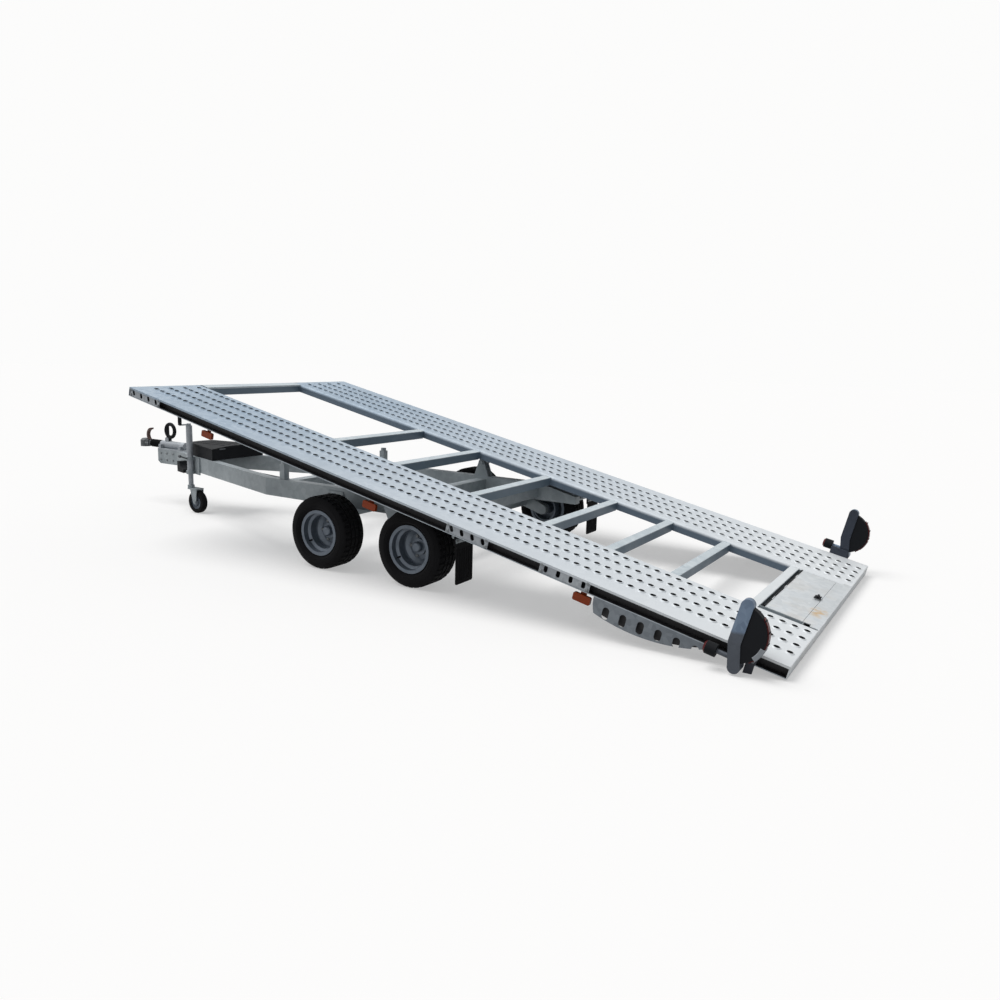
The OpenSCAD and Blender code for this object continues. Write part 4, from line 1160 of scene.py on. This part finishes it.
def coupling_fittings():
    head_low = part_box("coupling_head")[0]
    nose_low, nose_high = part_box("nose")
    bolts = []
    for sign in SIDES.values():
        for dx in HEAD_BOLTS_X:
            place = at(head_low.x + dx, sign * HEAD_BOLT_Y, head_low.z + HEAD_BOLT_UP)
            bolts.append(place @ outward(sign))
        for dx in NOSE_BOLTS_X:
            for drop in NOSE_BOLT_DROPS:
                place = at(nose_low.x + dx, sign * nose_high.y, nose_high.z - drop)
                bolts.append(place @ outward(sign))
    hand_over(scatter(turned(BOLT, HEX), bolts), "coupling_bolts", "chassis", "nut")


# Weld beads where the cross-members meet the runners

WELD_STATIONS = (0.331, 0.752, 1.135, 1.533, 2.050, 2.645, 3.161)
WELD_Y = 0.4622
WELD_HEIGHT = -0.0082
BEAD_R = 0.0042
BEAD_SHAPE = (1.15, 1, 0.6)
BEAD_COUNT = 7
BEAD_STEP = 0.0072


def weld_beads():
    bead = start("ico_sphere", subdivisions=1, radius=BEAD_R)
    bpy.ops.transform.resize(value=BEAD_SHAPE)
    leave_edit()
    apply_array(bead, BEAD_COUNT, (BEAD_STEP, 0, 0))
    half = BEAD_STEP * (BEAD_COUNT - 1) / 2
    places = []
    for s in WELD_STATIONS:
        for sign in SIDES.values():
            places.append(DECK @ at(s - half, sign * WELD_Y, WELD_HEIGHT))
    hand_over(scatter(bead, places), "weld_beads", "deck", "cross", angle=60)


# Stage: a pale floor that runs into a white surround, and soft light from above.
# Each has a darker colour for the light it throws on the trailer, and a pale one where it is seen

FLOOR_THROWN = (0.30, 0.30, 0.30)
FLOOR_SEEN = (0.62, 0.61, 0.60)
FLOOR_GLOW = 0.40
SKY_THROWN = (0.31, 0.32, 0.33)
SKY_SEEN = (0.973, 0.972, 0.968)


def shown_ray(tree):
    """1 for a ray that shows the surround: straight to the camera, in a reflection or through glass."""
    path = tree.nodes.new("ShaderNodeLightPath")
    seen = math_node(tree, "MAXIMUM", path.outputs["Is Camera Ray"], path.outputs["Is Glossy Ray"])
    return math_node(tree, "MAXIMUM", seen, path.outputs["Is Transmission Ray"])


def add_floor():
    bpy.ops.object.select_all(action="DESELECT")
    bpy.ops.mesh.primitive_plane_add(size=80, location=(0, 0, 0))
    floor = bpy.context.object
    floor.name = "floor"
    material, tree, shader = new_material("floor_white")
    seen = shown_ray(tree)
    tree.links.new(mix_colours(tree, seen, FLOOR_THROWN, FLOOR_SEEN), shader.inputs["Base Color"])
    shader.inputs["Emission Color"].default_value = (1, 1, 1, 1)
    tree.links.new(math_node(tree, "MULTIPLY", seen, FLOOR_GLOW), shader.inputs["Emission Strength"])
    shader.inputs["Roughness"].default_value = 0.9
    shader.inputs["Specular IOR Level"].default_value = 0.0
    floor.data.materials.append(material)


def add_sky():
    world = bpy.data.worlds.new("studio")
    scene.world = world
    world.use_nodes = True
    tree = world.node_tree
    light = mix_colours(tree, shown_ray(tree), SKY_THROWN, SKY_SEEN)
    tree.links.new(light, tree.nodes["Background"].inputs["Color"])


def add_sun(towards, strength, softness):
    bpy.ops.object.light_add(type="SUN", location=(0, 0, 6))
    lamp = bpy.context.object
    lamp.data.energy = strength
    lamp.data.angle = math.radians(softness)
    lamp.rotation_euler = Vector(towards).to_track_quat("-Z", "Y").to_euler()


add_camera()
add_floor()
add_sky()
add_sun(towards=(-0.45, -0.14, -1.0), strength=2.15, softness=45)
finish_nodes()
hole_collars()
treaded_tyres()
wheel_fasteners()
platform_bolts()
pivot_nuts()
axle_plates()
brake_rods()
lamp_windows()
hatch_fittings()
brake_loop()
jockey_fittings()
flap_ribs()
box_fittings()
coupling_fittings()
weld_beads()

scene.view_settings.view_transform = "Standard"
